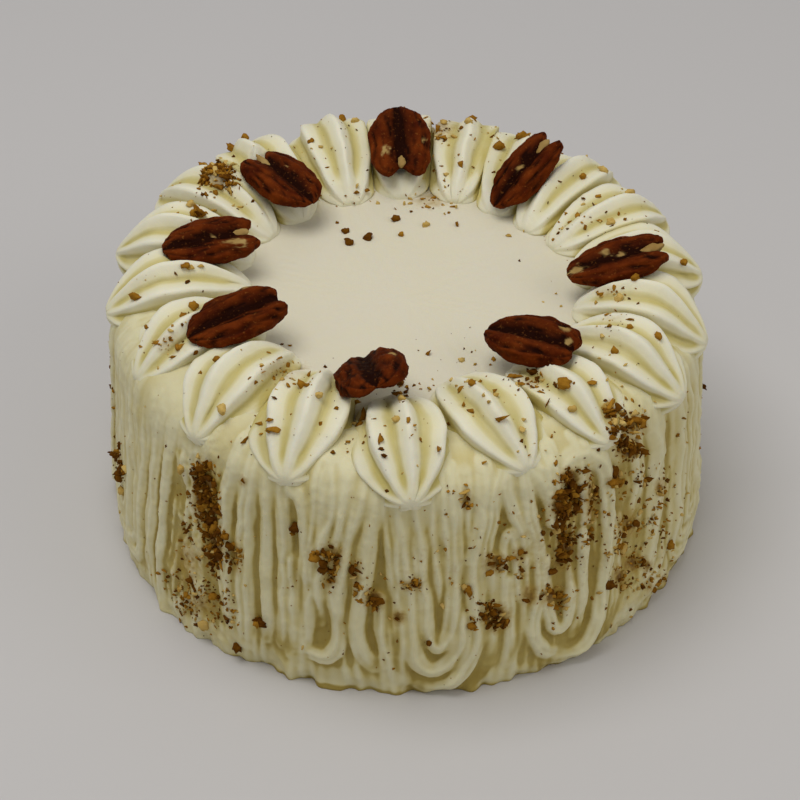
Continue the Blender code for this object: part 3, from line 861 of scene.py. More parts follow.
def onWall(tree, x, y):  # distance round the cake and rise under a pixel
    spot = None
    while not spot:  # a pixel just beside the cake is moved in until it meets it
        spot = tree.ray_cast(*photoRay(x, y))[0]
        x, y = (lerp(*ends, 0.01) for ends in zip((x, y), photo["wallMiddle"]))
    angle = math.atan2(spot.y, spot.x)
    rise = spot.z
    if rise > coat["wallTopHeight"]:
        share = (rise - coat["wallTopHeight"]) / (coat["topHeight"] - coat["wallTopHeight"])
        rise = coat["wallTopHeight"] + coat["browRun"] * math.asin(min(share, 1)) * 2 / math.pi
    return Vector((angle * coat["footRadius"], max(rise, ropes["tracedLeast"])))


def pipeWall(wall, tree, cells):  # all the ropes, and the heights that they leave
    rng = random.Random(ropes["seed"])
    heights = wall.streaks()
    radius = coat["footRadius"]
    cellWaves, ropeWaves, around, up = ropes["strayWaves"]
    for number, cell in enumerate(cells):
        if number in ropes["traced"]:
            continue
        width = cell.halfWidth / cell.count * ropes["overlap"]
        height = ropes["height"] * ropes["faint"].get(number, 1.0)
        for item in reversed(range(cell.count)):
            line = []
            for angle, rise in cell.line((2 * item + 1) / (2 * cell.count)):
                place = (number * cellWaves + item * ropeWaves, angle * around, rise * up)
                stray = ropes["stray"] * rough(place, 1, 2)
                raised = rise + stray * min(1, rise / ropes["steadyFoot"])
                line.append((angle * radius + drift(angle, rise) + stray, raised))
            layRope(wall, heights, line, width, height, rng, True)
    for foot, top, width, height, end in leftRopes:
        shares = [item / ropes["leftSteps"] for item in range(ropes["leftSteps"] + 1)]
        turns = [math.radians(lerp(top, foot, share)) * radius for share in shares]
        rises = [lerp(ropes["leftRise"], end / 1000, share) for share in shares]
        fades = (ropes["topFade"], ropes["fade"])
        layRope(wall, heights, list(zip(turns, rises)), width / 1000, height / 1000, rng, False, fades)
    for pixels, width, height in routes:
        line = [onWall(tree, *pixel) for pixel in pixels]
        line = goOn(goOn(line[::-1])[::-1])
        fades = (0, ropes["fade"] if line[-1][1] < ropes["highEnd"] else 0)
        layRope(wall, heights, line, width * ropes["tracedWiden"] / 1000, height / 1000, rng, False, fades)
    return settled(heights)


def goOn(line):  # a line whose last place is near the top goes on under the shells
    last = line[-1]
    if last[1] <= ropes["highEnd"]:
        return line
    lean = last - line[-2]
    lean = lean / max(lean.length, 0.001) * ropes["higherLean"]
    rises = [rise for rise in ropes["higher"] if rise > last[1] + ropes["higherGap"]]
    return line + [Vector((last[0] + lean[0] * (rise - last[1]), rise)) for rise in rises]


# The piped shells of the rim

shells = {
    "seed": 7,  # the solids draw from the same one
    # tip angle, tip radius, droop at the tip, head angle, head radius (degrees and mm), fullness
    "rows": (
        (271, 113, 5, 264, 62, 1.00),
        (293, 107, 2, 286, 54, 1.00),
        (311, 109, 3, 310, 58, 0.98),
        (331, 113, 5, 334, 60, 1.00),
        (349, 113, 5, 354, 62, 1.02),
        (11, 115, 4, 13, 63, 0.96),
        (31, 118, 4, 30, 64, 0.94),
        (48, 121, 3, 44, 63, 0.94),
        (64, 122, 2, 58, 65, 0.98),
        (77, 124, 1, 73, 66, 1.00),
        (91, 125, 1, 91, 66, 1.08),
        (106, 125, 1, 109, 65, 1.12),
        (124, 124, 2, 128, 64, 1.16),
        (143, 121, 3, 142, 64, 1.10),
        (162, 117, 4, 157, 62, 1.06),
        (182, 112, 4, 174, 57, 1.02),
        (205, 107, 4, 197, 55, 1.00),
        (227, 108, 4, 219, 54, 1.00),
        (248, 110, 4, 240, 55, 1.00),
    ),
    "halfWidth": 0.0208,
    "height": 0.0172,
    "crests": 9,
    "fluteDepth": 0.22,
    "fineDepth": 0.10,
    "bend": 0.0016,
    "widthSpread": 0.05,
    "heightSpread": 0.04,
    "widthForm": (0.60, 0.50, 0.62),
    "heightForm": (0.55, 0.72, 0.70),
    "droopStart": 0.6,
    "perCrest": 12,
    "rings": 56,
    "ringEnds": (0.02, 0.96),
    "evenRings": 0.5,
    "gap": 0.0001,
    "softEdge": 0.0007,
    "pressReach": 6,  # soft edges
    "pressDepth": 0.003,
    "flutePower": 1.6,
    "fluteFades": (0.22, 0.12),  # shares of the length at the head and the tip
    "leastFlute": 0.45,
    # unevenness of the flutes, sideways sway and roughness: how much, and waves
    "fluteSpread": (0.22, (3.1, 2.2, 5.7)),
    "sideSway": (0.0007, (5, 0.35, 2.9)),
    "grains": (260, 0.00022),
    "lowStart": 0.002,
    "lowRun": 0.008,
    "paintedShades": (0.85, 0.7, 0.3),  # painted shade in the flutes, where pressed together and low down
    "shadePower": 1.2,
    "nutShares": (0.35, 0.85),
    "nutTurn": 0.6,
    "nutDepth": 0.1,
    "nutCount": 2,
}


def spindle(share, fullest, headPower, tipPower):
    if share <= 0 or share >= 1:
        return 0.0
    if share < fullest:
        return math.sin(math.pi / 2 * share / fullest) ** headPower
    return math.cos(math.pi / 2 * (share - fullest) / (1 - fullest)) ** tipPower


class Shell:  # a fluted spindle on the rim, its head inside and its tip outside
    def __init__(self, row, rng):
        tipAngle, tipRadius, droop, headAngle, headRadius, fullness = row
        widths, heights = shells["widthSpread"], shells["heightSpread"]
        self.tip = polar(tipRadius / 1000, math.radians(tipAngle))
        self.head = polar(headRadius / 1000, math.radians(headAngle))
        self.droop = droop / 1000
        self.halfWidth = shells["halfWidth"] * (1 + rng.uniform(-widths, widths))
        self.height = shells["height"] * fullness * (1 + rng.uniform(-heights, heights))
        self.turn = rng.uniform(-0.5, 0.5) * math.pi / shells["crests"]
        self.bend = rng.uniform(-1, 1) * shells["bend"]
        self.middle = self.head.lerp(self.tip, 0.5)
        self.length = (self.tip - self.head).length
        self.along = (self.tip - self.head) / self.length
        self.side = Vector((self.along.y, -self.along.x, 0))

    def centre(self, share):
        spot = self.head.lerp(self.tip, share) + self.side * (self.bend * math.sin(math.pi * share))
        start = shells["droopStart"]
        spot.z = coat["topHeight"] - self.droop * smooth((share - start) / (1 - start))
        return spot

    def around(self, angle):  # 0 and 1 on the crests, a half in the middle of a flute
        return (angle + self.turn) / (2 * math.pi) * shells["crests"] % 1.0

    def point(self, share, angle, depth):
        around = self.around(angle)
        fine = 0.5 - 0.5 * math.cos(6 * math.pi * around)
        coarse = math.sin(math.pi * around) ** shells["flutePower"]
        flute = 1 - depth * (coarse + shells["fineDepth"] * fine)
        sideways = self.halfWidth * spindle(share, *shells["widthForm"]) * flute * math.sin(angle)
        rise = self.height * spindle(share, *shells["heightForm"]) * flute * math.cos(angle)
        return self.centre(share) + self.side * sideways + Vector((0, 0, rise))


def besidePlane(shell, other):  # the plane half way to a neighbour
    direction = (shell.along + other.along).normalized()
    normal = Vector((direction.y, -direction.x, 0))
    if (other.middle - shell.middle).dot(normal) < 0:
        normal = -normal
    return (shell.middle + other.middle - normal * shells["gap"]) / 2, normal


def shellForm(shell, planes, beds, number):
    crests, perCrest, rows = shells["crests"], shells["perCrest"], shells["rings"]
    size = crests * perCrest
    soft = shells["softEdge"]
    firstRing, ringRun = shells["ringEnds"]
    headFade, tipFade = shells["fluteFades"]
    grainWaves, grainDepth = shells["grains"]
    fluteShade, pressedShade, lowShade = shells["paintedShades"]
    rings = []
    for row in range(1, rows):
        share = 0.5 - 0.5 * math.cos(math.pi * (firstRing + ringRun * row / rows))
        share = lerp(share, row / rows, shells["evenRings"])
        fade = smooth(share / headFade) * smooth((1 - share) / tipFade)
        ring = []
        for column in range(size):
            angle = 2 * math.pi * column / size - shell.turn
            crest = round(column / perCrest) % crests
            uneven = 1 + sway(shells["fluteSpread"], (crest, share, number))
            depth = shells["fluteDepth"] * lerp(shells["leastFlute"], 1, fade) * uneven
            point = shell.point(share, angle, depth)
            point += shell.side * sway(shells["sideSway"], (share, crest, number))
            flute = math.sin(math.pi * (column % perCrest / perCrest)) ** shells["flutePower"]
            pressed = 0.0
            for spot, normal in planes:
                distance = (point - spot).dot(normal)
                if distance > -shells["pressReach"] * soft:
                    kept = -soft * math.log(1 + math.exp(min(-distance / soft, 30)))
                    point += normal * (kept - distance)
                    pressed = max(pressed, smooth(1 + kept / shells["pressDepth"]))
            for bed in beds:
                point = bed.pressed(point)
            outwards = (point - shell.centre(share)).normalized()
            point += outwards * (grainDepth * rough(point, grainWaves, 3))
            # painted shade: in the flutes, where the shells press together and near their foot
            low = 1 - smooth((point.z - coat["topHeight"] + shells["lowStart"]) / shells["lowRun"])
            shade = fluteShade * flute ** shells["shadePower"] * fade
            shade += pressedShade * pressed + lowShade * low
            ring.append((point, (min(1.0, shade), 0.0)))
        rings.append(ring)
    form = Form()
    form.addSkin(rings)
    return form


# The pecan halves

pecans = {
    # centre x, y and z above the top, heading of the cleft end, pitch, roll, length, width
    # (mm and degrees), depth of the cleft as a share of half the length, and the side that is up
    "rows": (
        (-2, 83, 16, -87, -15, 0, 39, 24.5, 0.36, "flat"),
        (47, 64, 16, 42, 31, 0, 39, 18.5, 0.42, "flat"),
        (79, 2, 16, 6, 15, 6, 40.5, 20, 0.40, "flat"),
        (45, -47, 15, -31, 7, 8, 38, 22, 0.14, "dome"),
        (-12, -66, 15, 278, 20, 16, 37, 26, 0.15, "dome"),
        (-60, -33, 15, 31, 5, 8, 40, 22, 0.16, "dome"),
        (-72, 16, 15, 20, 0, 8, 39, 22, 0.42, "flat"),
        (-48, 59, 15, 129, 4, 4, 39.5, 24, 0.40, "flat"),
    ),
    "thickness": 0.0100,
    "domeShare": 0.60,
    "grooveDepth": 0.55,
    "grooveWidth": math.radians(20),
    "cleftWidth": 0.30,
    "cleftTaper": 0.10,
    "tipTaper": 0.26,
    "flatness": 0.7,
    "bluntness": 0.35,
    "gap": 0.00045,
    "margin": 0.004,
    "rings": 76,
    "segments": 100,
    # unevenness: how much, and the waves of each value that it depends on
    "ragged": (0.12, (3, 4.4, 1)),
    "outline": (0.035, (2.2, 1, 3.1)),
    "grooveWander": (0.10, (1.6, 2.3, 1)),
    "furrowWander": (0.16, (1.9, 1, 1)),
    "furrowTurn": 0.95,
    "furrowWidth": 0.13,
    "furrows": (0.20, 0.12),  # on the domed and on the flatter side
    # furrowShade and wrinkleShade set painted shade in the furrows and the wrinkle valleys
    "furrowShade": 2.6,
    "wrinkles": (1, (2.6, 6.5, 1)),
    "lumps": (1, (3.4, 2.0, 1)),
    "wrinkleDepth": 0.00075,
    "lumpDepth": 0.00055,
    "smoothAxis": 0.3,
    "wrinkleShade": 1.1,
    "spotEdge": (1.1, (9, 9, 3.3)),
    "spotReach": 1.6,
    "spotWrinkle": 0.8,
    "grains": ((160, 4), (900, 4, (1, 1, 1.4))),
    "skin": ((0.170, 0.031, 0.0030), (0.060, 0.0070, 0.0006)),
    # painted shade, near black, in the groove, the furrows and the wrinkle valleys
    "paintedCrease": (0.013, 0.0020, 0.0003),
    # flecks: small orange spots at random on the skin, painted highlights
    "flecks": (0.28, 0.10, 0.020),
    "coreColours": ((0.45, 0.315, 0.12), (0.27, 0.15, 0.038)),
    "coreSkin": (16, 20),
    "coreCrumble": 0.34,
    "coreWaves": 420,
    "coreRise": 0.0010,
    "coreBack": 0.1,
    # pale spots: x and y on the half as shares of its half length and width, and their radius
    "spots": (
        ((0.30, -0.50, 0.11), (0.05, 0.80, 0.07)),
        ((-0.05, 0.10, 0.07),),
        ((-0.20, 0.30, 0.10), (0.05, 0.05, 0.06), (-0.82, -0.05, 0.16)),
        ((0.55, 0.45, 0.08), (0.80, 0.10, 0.07)),
        ((0.0, 0.72, 0.06),),
        ((0.45, 0.86, 0.09), (0.20, 0.90, 0.08), (-0.15, 0.93, 0.07)),
        ((0.02, 0.02, 0.06), (0.35, -0.55, 0.16)),
        ((0.10, -0.30, 0.05),),
    ),
    # the core that shows in the cleft: length, width and height in mm, and its shift along
    "cores": (
        (6.0, 3.2, 2.2, -1.0),
        (8.0, 3.8, 2.6, 0.0),
        (8.5, 4.2, 2.6, 1.0),
        None,
        None,
        None,
        (7.0, 3.6, 2.2, 0.0),
        (10.0, 3.2, 2.6, 1.0),
    ),
}


def pecanFrame(row):
    x, y, rise, heading, pitch, roll = row[:6]
    place = Matrix.Translation((x / 1000, y / 1000, coat["topHeight"] + rise / 1000))
    turn = Matrix.Rotation(math.radians(heading), 4, "Z")
    tilt = Matrix.Rotation(math.radians(-pitch), 4, "Y")
    lean = Matrix.Rotation(math.radians(roll), 4, "X")
    return place @ turn @ tilt @ lean


def pecanTaper(x):
    return 1 - (pecans["cleftTaper"] if x > 0 else pecans["tipTaper"]) * x * x


def pecanSurface(direction, row, number):  # two plump lobes with a groove between them
    x, y, z = direction
    halfLength, halfWidth = row[6] / 2000, row[7] / 2000
    ragged = 1 + sway(pecans["ragged"], (y, number, 1))
    lengthShare = 1 - row[8] * ragged * max(x, 0) * bell(y / pecans["cleftWidth"])
    taper = pecanTaper(x) * (1 + x * x) ** pecans["bluntness"]
    taper *= 1 + sway(pecans["outline"], (x, math.copysign(2, y), number), 3)
    domed = (z > 0) == (row[9] == "dome")
    share = pecans["domeShare"] if domed else 1 - pecans["domeShare"]
    fromAxis = math.hypot(y, z)
    groove = 0.0
    height = pecans["thickness"] * share
    if fromAxis > 0:
        turned = math.atan2(abs(y), abs(z))
        wave = sway(pecans["grooveWander"], (x, number, 5))
        groove = bell((turned + math.copysign(wave, y)) / pecans["grooveWidth"])
        lobe = (abs(z) / fromAxis) ** pecans["flatness"]
        furrowAt = pecans["furrowTurn"] + sway(pecans["furrowWander"], (x, math.copysign(3, y), number))
        furrow = bell((turned - furrowAt) / pecans["furrowWidth"]) * pecans["furrows"][not domed]
        height *= lobe * (1 - pecans["grooveDepth"] * groove - furrow) * fromAxis
        # the groove and the furrows are painted dark, as shade
        groove = max(groove, furrow * pecans["furrowShade"])
    point = Vector((x * halfLength * lengthShare, y * halfWidth * taper, math.copysign(height, z)))
    wrinkle = sway(pecans["wrinkles"], (x, y, number * 6 + z * 2), 3)
    lumps = sway(pecans["lumps"], (x, y, number * 9 + z))
    relief = pecans["wrinkleDepth"] * wrinkle + pecans["lumpDepth"] * lumps
    point += Vector(direction) * relief * lerp(pecans["smoothAxis"], 1, fromAxis)
    return point, groove, wrinkle


def ballRings(rows, columns, shape):  # rings from end to end of a ball, which shape makes over
    rings = []
    for row in range(1, rows):
        along = math.pi * row / rows
        axis, girth = -math.cos(along), math.sin(along)
        turns = [2 * math.pi * column / columns for column in range(columns)]
        rings.append([shape((axis, girth * math.cos(turn), girth * math.sin(turn))) for turn in turns])
    return rings


def pecanForm(row, number):
    place = pecanFrame(row)

    def ofHalf(direction):
        point, groove, wrinkle = pecanSurface(direction, row, number)
        pale = 0.0
        if direction[2] > 0:
            for x, y, size in pecans["spots"][number]:
                reach = math.hypot(direction[0] - x, direction[1] - y) / size
                reach += sway(pecans["spotEdge"], (*direction[:2], number))
                pale = max(pale, smooth(pecans["spotReach"] - reach - pecans["spotWrinkle"] * abs(wrinkle)))
        # the first mark is painted shade in the groove, the furrows and the wrinkle valleys
        return place @ point, (min(1.0, groove + pecans["wrinkleShade"] * max(0, -wrinkle)), pale)

    form = Form()
    form.addSkin(ballRings(pecans["rings"], pecans["segments"], ofHalf))
    core = pecans["cores"][number]
    if core:
        *size, shift = (value / 1000 for value in core)
        along = row[6] / 2000 * (1 - row[8]) + shift - size[0] * pecans["coreBack"]
        middle = Vector((along, 0, pecans["coreRise"]))

        def ofCore(direction):
            spot = Vector([share * reach / 2 for share, reach in zip(direction, size)])
            crumble = rough(spot + Vector((number, 0, 0)), pecans["coreWaves"], 3)
            return place @ (middle + spot * (1 + pecans["coreCrumble"] * crumble)), (0.0, 1.0)

        form.addSkin(ballRings(*pecans["coreSkin"], ofCore))
    return form


class Bed:  # the hollow that a pecan half presses into the cream
    def __init__(self, row):
        self.row = row
        self.place = pecanFrame(row)
        self.back = self.place.inverted()
        self.middle = Vector((row[0] / 1000, row[1] / 1000, 0))

    def pressed(self, point):
        row, gap = self.row, pecans["gap"]
        local = self.back @ point
        x = local.x / (row[6] / 2000 + gap)
        if abs(x) >= 1:
            return point
        y = local.y / (row[7] / 2000 * pecanTaper(x) + gap)
        left = 1 - x * x - y * y
        if left <= 0:
            return point
        share = 1 - pecans["domeShare"] if row[9] == "dome" else pecans["domeShare"]
        fromAxis = math.sqrt(1 - x * x)
        under = pecans["thickness"] * share * (math.sqrt(left) / fromAxis) ** pecans["flatness"] * fromAxis
        low = -under - math.sqrt(left) * gap
        if local.z > low:
            local.z = low
        return self.place @ local


def clearOfPecans(point):
    for row in pecans["rows"]:
        local = pecanFrame(row).inverted() @ point
        reach = Vector((
            local.x / (row[6] / 2000 + pecans["margin"]),
            local.y / (row[7] / 2000 + pecans["margin"]),
            local.z / (pecans["thickness"] * pecans["domeShare"] + pecans["margin"]),
        ))
        if reach.length < 1:
            return False
    return True


def pecanMaterial():
    shading = Shading("pecan_skin")
    hollow, pale = shading.mark("hollow"), shading.mark("pale")
    clouds, fine = (shading.grain(*grain) for grain in pecans["grains"])
    colour = shading.blend((clouds * 2.4 - 0.7).held(), *pecans["skin"])
    # painted shade in the groove, the furrows and the wrinkle valleys
    colour = shading.blend((hollow * 1.1).held(), colour, pecans["paintedCrease"])
    # small orange spots at random: painted highlights
    colour = shading.blend(((fine - 0.6) * 5).held() * 0.6, colour, pecans["flecks"])
    core = shading.blend((clouds * 1.6 - 0.3).held(), *pecans["coreColours"])
    colour = shading.blend((pale * 1.2).held(), colour, core)
    return shading.finish(
        base_color=colour,
        roughness=0.55 + fine * 0.25,
        normal=shading.bump(clouds * 0.5 + fine * 0.4, 0.0006, 0.8),
        specular_ior_level=0.03,
    )


# The chopped pecans

nuts = {
    "size": 0.0021,
    "sizes": (0.75, 1.3),
    "lengths": (0.7, 1.2),
    "widths": (0.6, 1.0),
    "lumps": (0.85, 1.15),
    "standOff": 0.0004,
    "clusters": (
        (-129, 62, 14, 7),
        (-62, 67, 12, 6),
        (-46, 76, 8, 4),
        (-102, 57, 9, 4),
        (-77, 48, 11, 4),
        (-44, 40, 14, 5),
        (-130, 26, 12, 4),
    ),
    "clusterWidth": 0.6,
    "clusterHeight": 0.8,
    "scattered": 12,
    "scatterHeights": (0.008, 0.076),
    "scatterJitter": 0.6,
    "wallMargin": 0.0063,
    "top": 6,
    "topRadii": (0.040, 0.054),
    "topAngles": (math.radians(55), math.radians(125)),
    "solidCuts": 2,
    "solidCrumble": 0.5,
    "solidWaves": (900, 600),
    "seed": 23,
    "kinds": ("dark", "brown", "tan"),
    "blanks": 24,  # forms of chip in each fineness
    "cuts": (0, 1, 2),
    "cutFrom": (1.0, 2.6),  # mm, above which chips are cut finer
    "corners": 10,
    "cornerReach": (0.32, 0.6),
    "chipForm": ((0.95, 1.6), (0.65, 1.0), (0.45, 0.85)),
    "crumble": 0.34,
    "crumbleWaves": 4.2,
    "proud": (0.0, 0.13),
    # how strongly small sizes win in the patches, the rows, the hidden patches and on the rim
    "smallPowers": (2, 1.6, 1.8, 2.5),
    # hidden patches: how widely three pieces in turn are strewn, heights and sizes in mm, kinds
    "hiddenSpreads": (1.0, 0.5, 0.5),
    "hiddenHeights": (3, 84),
    "hiddenSizes": (0.7, 3.8),
    "hiddenShares": (0.5, 0.38),
    # crumbs on the back rim: count, radii, angles (degrees), sizes (mm), kinds, least height
    "crumbs": (260, (0.066, 0.112), (20, 160), (0.5, 2.4), (0.25, 0.45), 0.08),
    "stainWiden": 1.4,
    "stainShare": 1.2,
    "stainMargin": 0.004,
    "hiddenStain": 0.55,
    "hiddenCount": 120,
    "grains": ((700, 4), (2600, 3)),
    "flecks": (0.090, 0.038, 0.004),
    "colours": {
        "dark": ((0.064, 0.018, 0.001), (0.20, 0.077, 0.0045)),
        "brown": ((0.18, 0.067, 0.0035), (0.45, 0.223, 0.023)),
        "tan": ((0.44, 0.26, 0.048), (0.71, 0.52, 0.18)),
    },
}

# Single pieces in the photo: x, y (pixels) and size (mm)
nutPixels = {
    "dark": (
        (175, 273, 1.8), (187, 283, 2.2), (195, 352, 3.0), (349, 126, 1.8), (445, 141, 2.2),
        (492, 137, 2.6), (411, 212, 1.6), (337, 223, 2.0), (583, 199, 2.2), (548, 203, 1.6),
        (612, 226, 1.4), (519, 261, 1.2), (630, 299, 1.8), (638, 304, 1.4), (325, 367, 1.6),
        (274, 398, 2.2), (381, 449, 2.2), (384, 456, 3.0), (387, 491, 1.8), (243, 482, 3.0),
        (535, 372, 4.4), (529, 384, 2.6), (541, 367, 3.0), (548, 403, 2.6), (521, 441, 2.2),
        (625, 443, 4.0), (628, 453, 5.0), (598, 449, 2.2), (601, 466, 1.8), (449, 423, 2.2),
        (400, 384, 4.6), (404, 392, 4.4), (397, 395, 3.6), (372, 600, 3.4), (397, 618, 2.6),
        (331, 580, 3.0), (470, 617, 2.2), (525, 600, 2.6), (214, 168, 4.0), (226, 178, 4.4),
        (222, 186, 3.0), (120, 446, 3.6), (117, 456, 4.2), (122, 466, 3.4), (490, 606, 3.2),
        (484, 616, 3.6), (500, 622, 2.8), (333, 452, 2.6), (566, 480, 3.2), (572, 492, 3.4),
        (564, 506, 3.0), (575, 512, 2.6), (472, 352, 1.6), (464, 349, 1.4),
    ),
    "brown": (
        (183, 315, 4.2), (147, 327, 3.0), (157, 343, 3.8), (180, 347, 3.6), (174, 357, 2.4),
        (170, 338, 2.2), (141, 346, 1.6), (200, 372, 1.8), (204, 181, 3.6), (212, 186, 3.0),
        (206, 195, 2.6), (311, 141, 3.0), (415, 112, 3.4), (426, 118, 2.8), (472, 118, 3.6),
        (437, 131, 4.6), (442, 138, 3.6), (462, 128, 2.6), (461, 165, 3.2), (459, 155, 1.4),
        (356, 193, 3.6), (366, 191, 3.4), (354, 203, 1.6), (395, 209, 2.2), (423, 199, 2.4),
        (433, 198, 3.2), (427, 207, 2.4), (434, 171, 1.8), (457, 225, 3.8), (598, 197, 3.8),
        (578, 216, 2.6), (570, 222, 3.2), (585, 228, 2.2), (625, 220, 2.2), (602, 293, 4.6),
        (613, 289, 3.8), (609, 327, 2.6), (630, 319, 3.2), (629, 327, 3.0), (617, 302, 1.6),
        (607, 315, 1.6), (290, 346, 2.6), (278, 359, 3.4), (287, 366, 2.8), (256, 383, 2.6),
        (250, 378, 1.8), (273, 378, 2.6), (288, 386, 2.8), (308, 376, 3.2), (307, 386, 3.0),
        (260, 424, 2.8), (273, 428, 4.4), (268, 432, 2.8), (270, 420, 2.2), (262, 434, 1.6),
        (244, 440, 3.2), (321, 423, 1.8), (336, 409, 2.0), (355, 402, 3.2), (365, 419, 5.6),
        (359, 424, 3.6), (379, 438, 3.2), (363, 443, 2.0), (348, 442, 2.0), (348, 452, 1.6),
        (365, 436, 1.6), (408, 421, 2.8), (414, 425, 2.0), (420, 440, 2.2), (428, 355, 3.4),
        (479, 382, 2.8), (461, 390, 2.4), (464, 406, 3.2), (471, 412, 3.2), (500, 418, 4.4),
        (516, 378, 4.4), (521, 384, 3.2), (541, 392, 2.6), (590, 382, 4.0), (610, 404, 5.6),
        (611, 414, 5.0), (613, 431, 4.0), (634, 418, 5.0), (625, 424, 3.4), (637, 437, 3.2),
        (618, 450, 2.8), (555, 462, 3.4), (590, 478, 2.6), (612, 481, 4.6), (620, 484, 3.8),
        (494, 360, 2.4), (242, 550, 2.4), (238, 560, 2.0), (292, 534, 2.4),
        (402, 582, 2.2), (410, 588, 2.0), (420, 584, 2.2), (386, 578, 1.6), (394, 668, 1.6),
        (437, 450, 3.6), (448, 491, 1.8), (466, 485, 1.8), (452, 583, 1.6), (465, 592, 1.8),
        (553, 628, 2.2), (553, 597, 3.0), (548, 520, 2.4), (601, 500, 1.6), (630, 522, 1.8),
        (617, 552, 2.0), (630, 563, 1.8), (645, 577, 1.4), (660, 488, 1.8), (650, 522, 1.8),
        (683, 418, 1.8), (687, 392, 1.6), (677, 435, 2.0), (643, 465, 1.8), (632, 320, 2.0),
    ),
    "tan": (
        (190, 267, 3.0), (200, 266, 2.4), (171, 330, 2.6), (162, 196, 1.8), (240, 207, 2.4),
        (233, 206, 2.0), (233, 165, 3.4), (226, 162, 2.8), (498, 139, 2.4), (455, 138, 3.2),
        (450, 118, 3.0), (446, 174, 2.6), (378, 204, 2.4), (410, 204, 2.6), (404, 205, 2.0),
        (456, 208, 3.0), (445, 214, 2.0), (508, 236, 2.6), (524, 231, 1.6), (543, 302, 1.6),
        (556, 294, 1.8), (561, 307, 2.0), (597, 303, 3.0), (285, 372, 2.6), (282, 380, 2.8),
        (293, 362, 2.0), (262, 365, 2.2), (462, 361, 2.6), (475, 365, 2.0), (452, 380, 2.0),
        (457, 386, 1.8), (468, 381, 1.8), (430, 389, 2.8), (489, 402, 2.2), (484, 395, 2.0),
        (522, 430, 3.2), (524, 420, 2.2), (607, 380, 1.8), (303, 647, 2.2), (443, 605, 2.8),
        (155, 341, 2.2), (320, 147, 2.2), (625, 365, 2.4), (602, 336, 2.0), (600, 358, 1.6),
        (355, 424, 2.4), (400, 380, 2.2), (558, 474, 2.0), (585, 489, 1.8), (639, 428, 2.4),
        (214, 210, 2.0),
    ),
}

# Patches of pieces in the photo: x, y, spread across and down (pixels), count and sizes (mm)
nutPatches = (
    (206, 515, 9, 26, 70, 1.2, 3.2, (0.55, 0.35)),
    (205, 598, 10, 14, 26, 0.7, 1.6, (0.3, 0.4)),
    (218, 174, 10, 8, 34, 1.2, 3.0, (0.45, 0.4)),
    (204, 192, 7, 7, 12, 0.8, 2.0, (0.2, 0.5)),
    (119, 456, 3, 9, 12, 1.0, 2.6, (0.6, 0.3)),
    (168, 344, 13, 9, 22, 0.7, 2.0, (0.15, 0.5)),
    (440, 130, 13, 12, 34, 0.9, 2.8, (0.15, 0.5)),
    (430, 200, 14, 8, 24, 0.7, 2.0, (0.1, 0.45)),
    (280, 372, 20, 10, 34, 0.7, 2.0, (0.15, 0.5)),
    (532, 380, 13, 8, 40, 0.9, 2.6, (0.4, 0.45)),
    (402, 388, 5, 7, 16, 1.0, 2.4, (0.6, 0.3)),
    (576, 220, 10, 6, 18, 0.6, 1.6, (0.2, 0.5)),
    (606, 292, 10, 6, 16, 0.8, 2.0, (0.15, 0.55)),
    (612, 320, 14, 7, 16, 0.6, 1.6, (0.3, 0.5)),
    (628, 424, 9, 12, 34, 1.0, 3.0, (0.45, 0.4)),
    (626, 452, 6, 6, 18, 1.0, 3.0, (0.6, 0.3)),
    (570, 496, 8, 14, 40, 0.8, 2.6, (0.6, 0.3)),
    (566, 552, 8, 14, 16, 0.7, 1.8, (0.3, 0.5)),
    (486, 612, 8, 9, 34, 0.8, 2.4, (0.55, 0.35)),
    (332, 578, 4, 7, 14, 0.7, 1.8, (0.55, 0.35)),
    (372, 598, 4, 8, 14, 0.7, 1.8, (0.55, 0.35)),
    (412, 586, 8, 4, 16, 0.7, 1.8, (0.3, 0.5)),
    (240, 556, 3, 6, 8, 0.7, 1.6, (0.3, 0.5)),
    (645, 500, 20, 45, 90, 0.7, 2.6, (0.15, 0.5)),
    (632, 560, 14, 26, 44, 0.6, 2.2, (0.15, 0.5)),
    (150, 480, 18, 60, 30, 0.5, 1.3, (0.3, 0.5)),
    (400, 570, 110, 60, 150, 0.5, 1.5, (0.25, 0.5)),
    (560, 540, 60, 50, 130, 0.6, 2.2, (0.2, 0.5)),
    (470, 380, 60, 22, 60, 0.5, 1.4, (0.2, 0.5)),
    (330, 410, 50, 22, 40, 0.5, 1.3, (0.2, 0.5)),
    (600, 350, 40, 40, 30, 0.5, 1.3, (0.2, 0.5)),
    (170, 300, 30, 40, 24, 0.5, 1.3, (0.2, 0.5)),
    (420, 160, 70, 26, 44, 0.5, 1.3, (0.2, 0.5)),
)

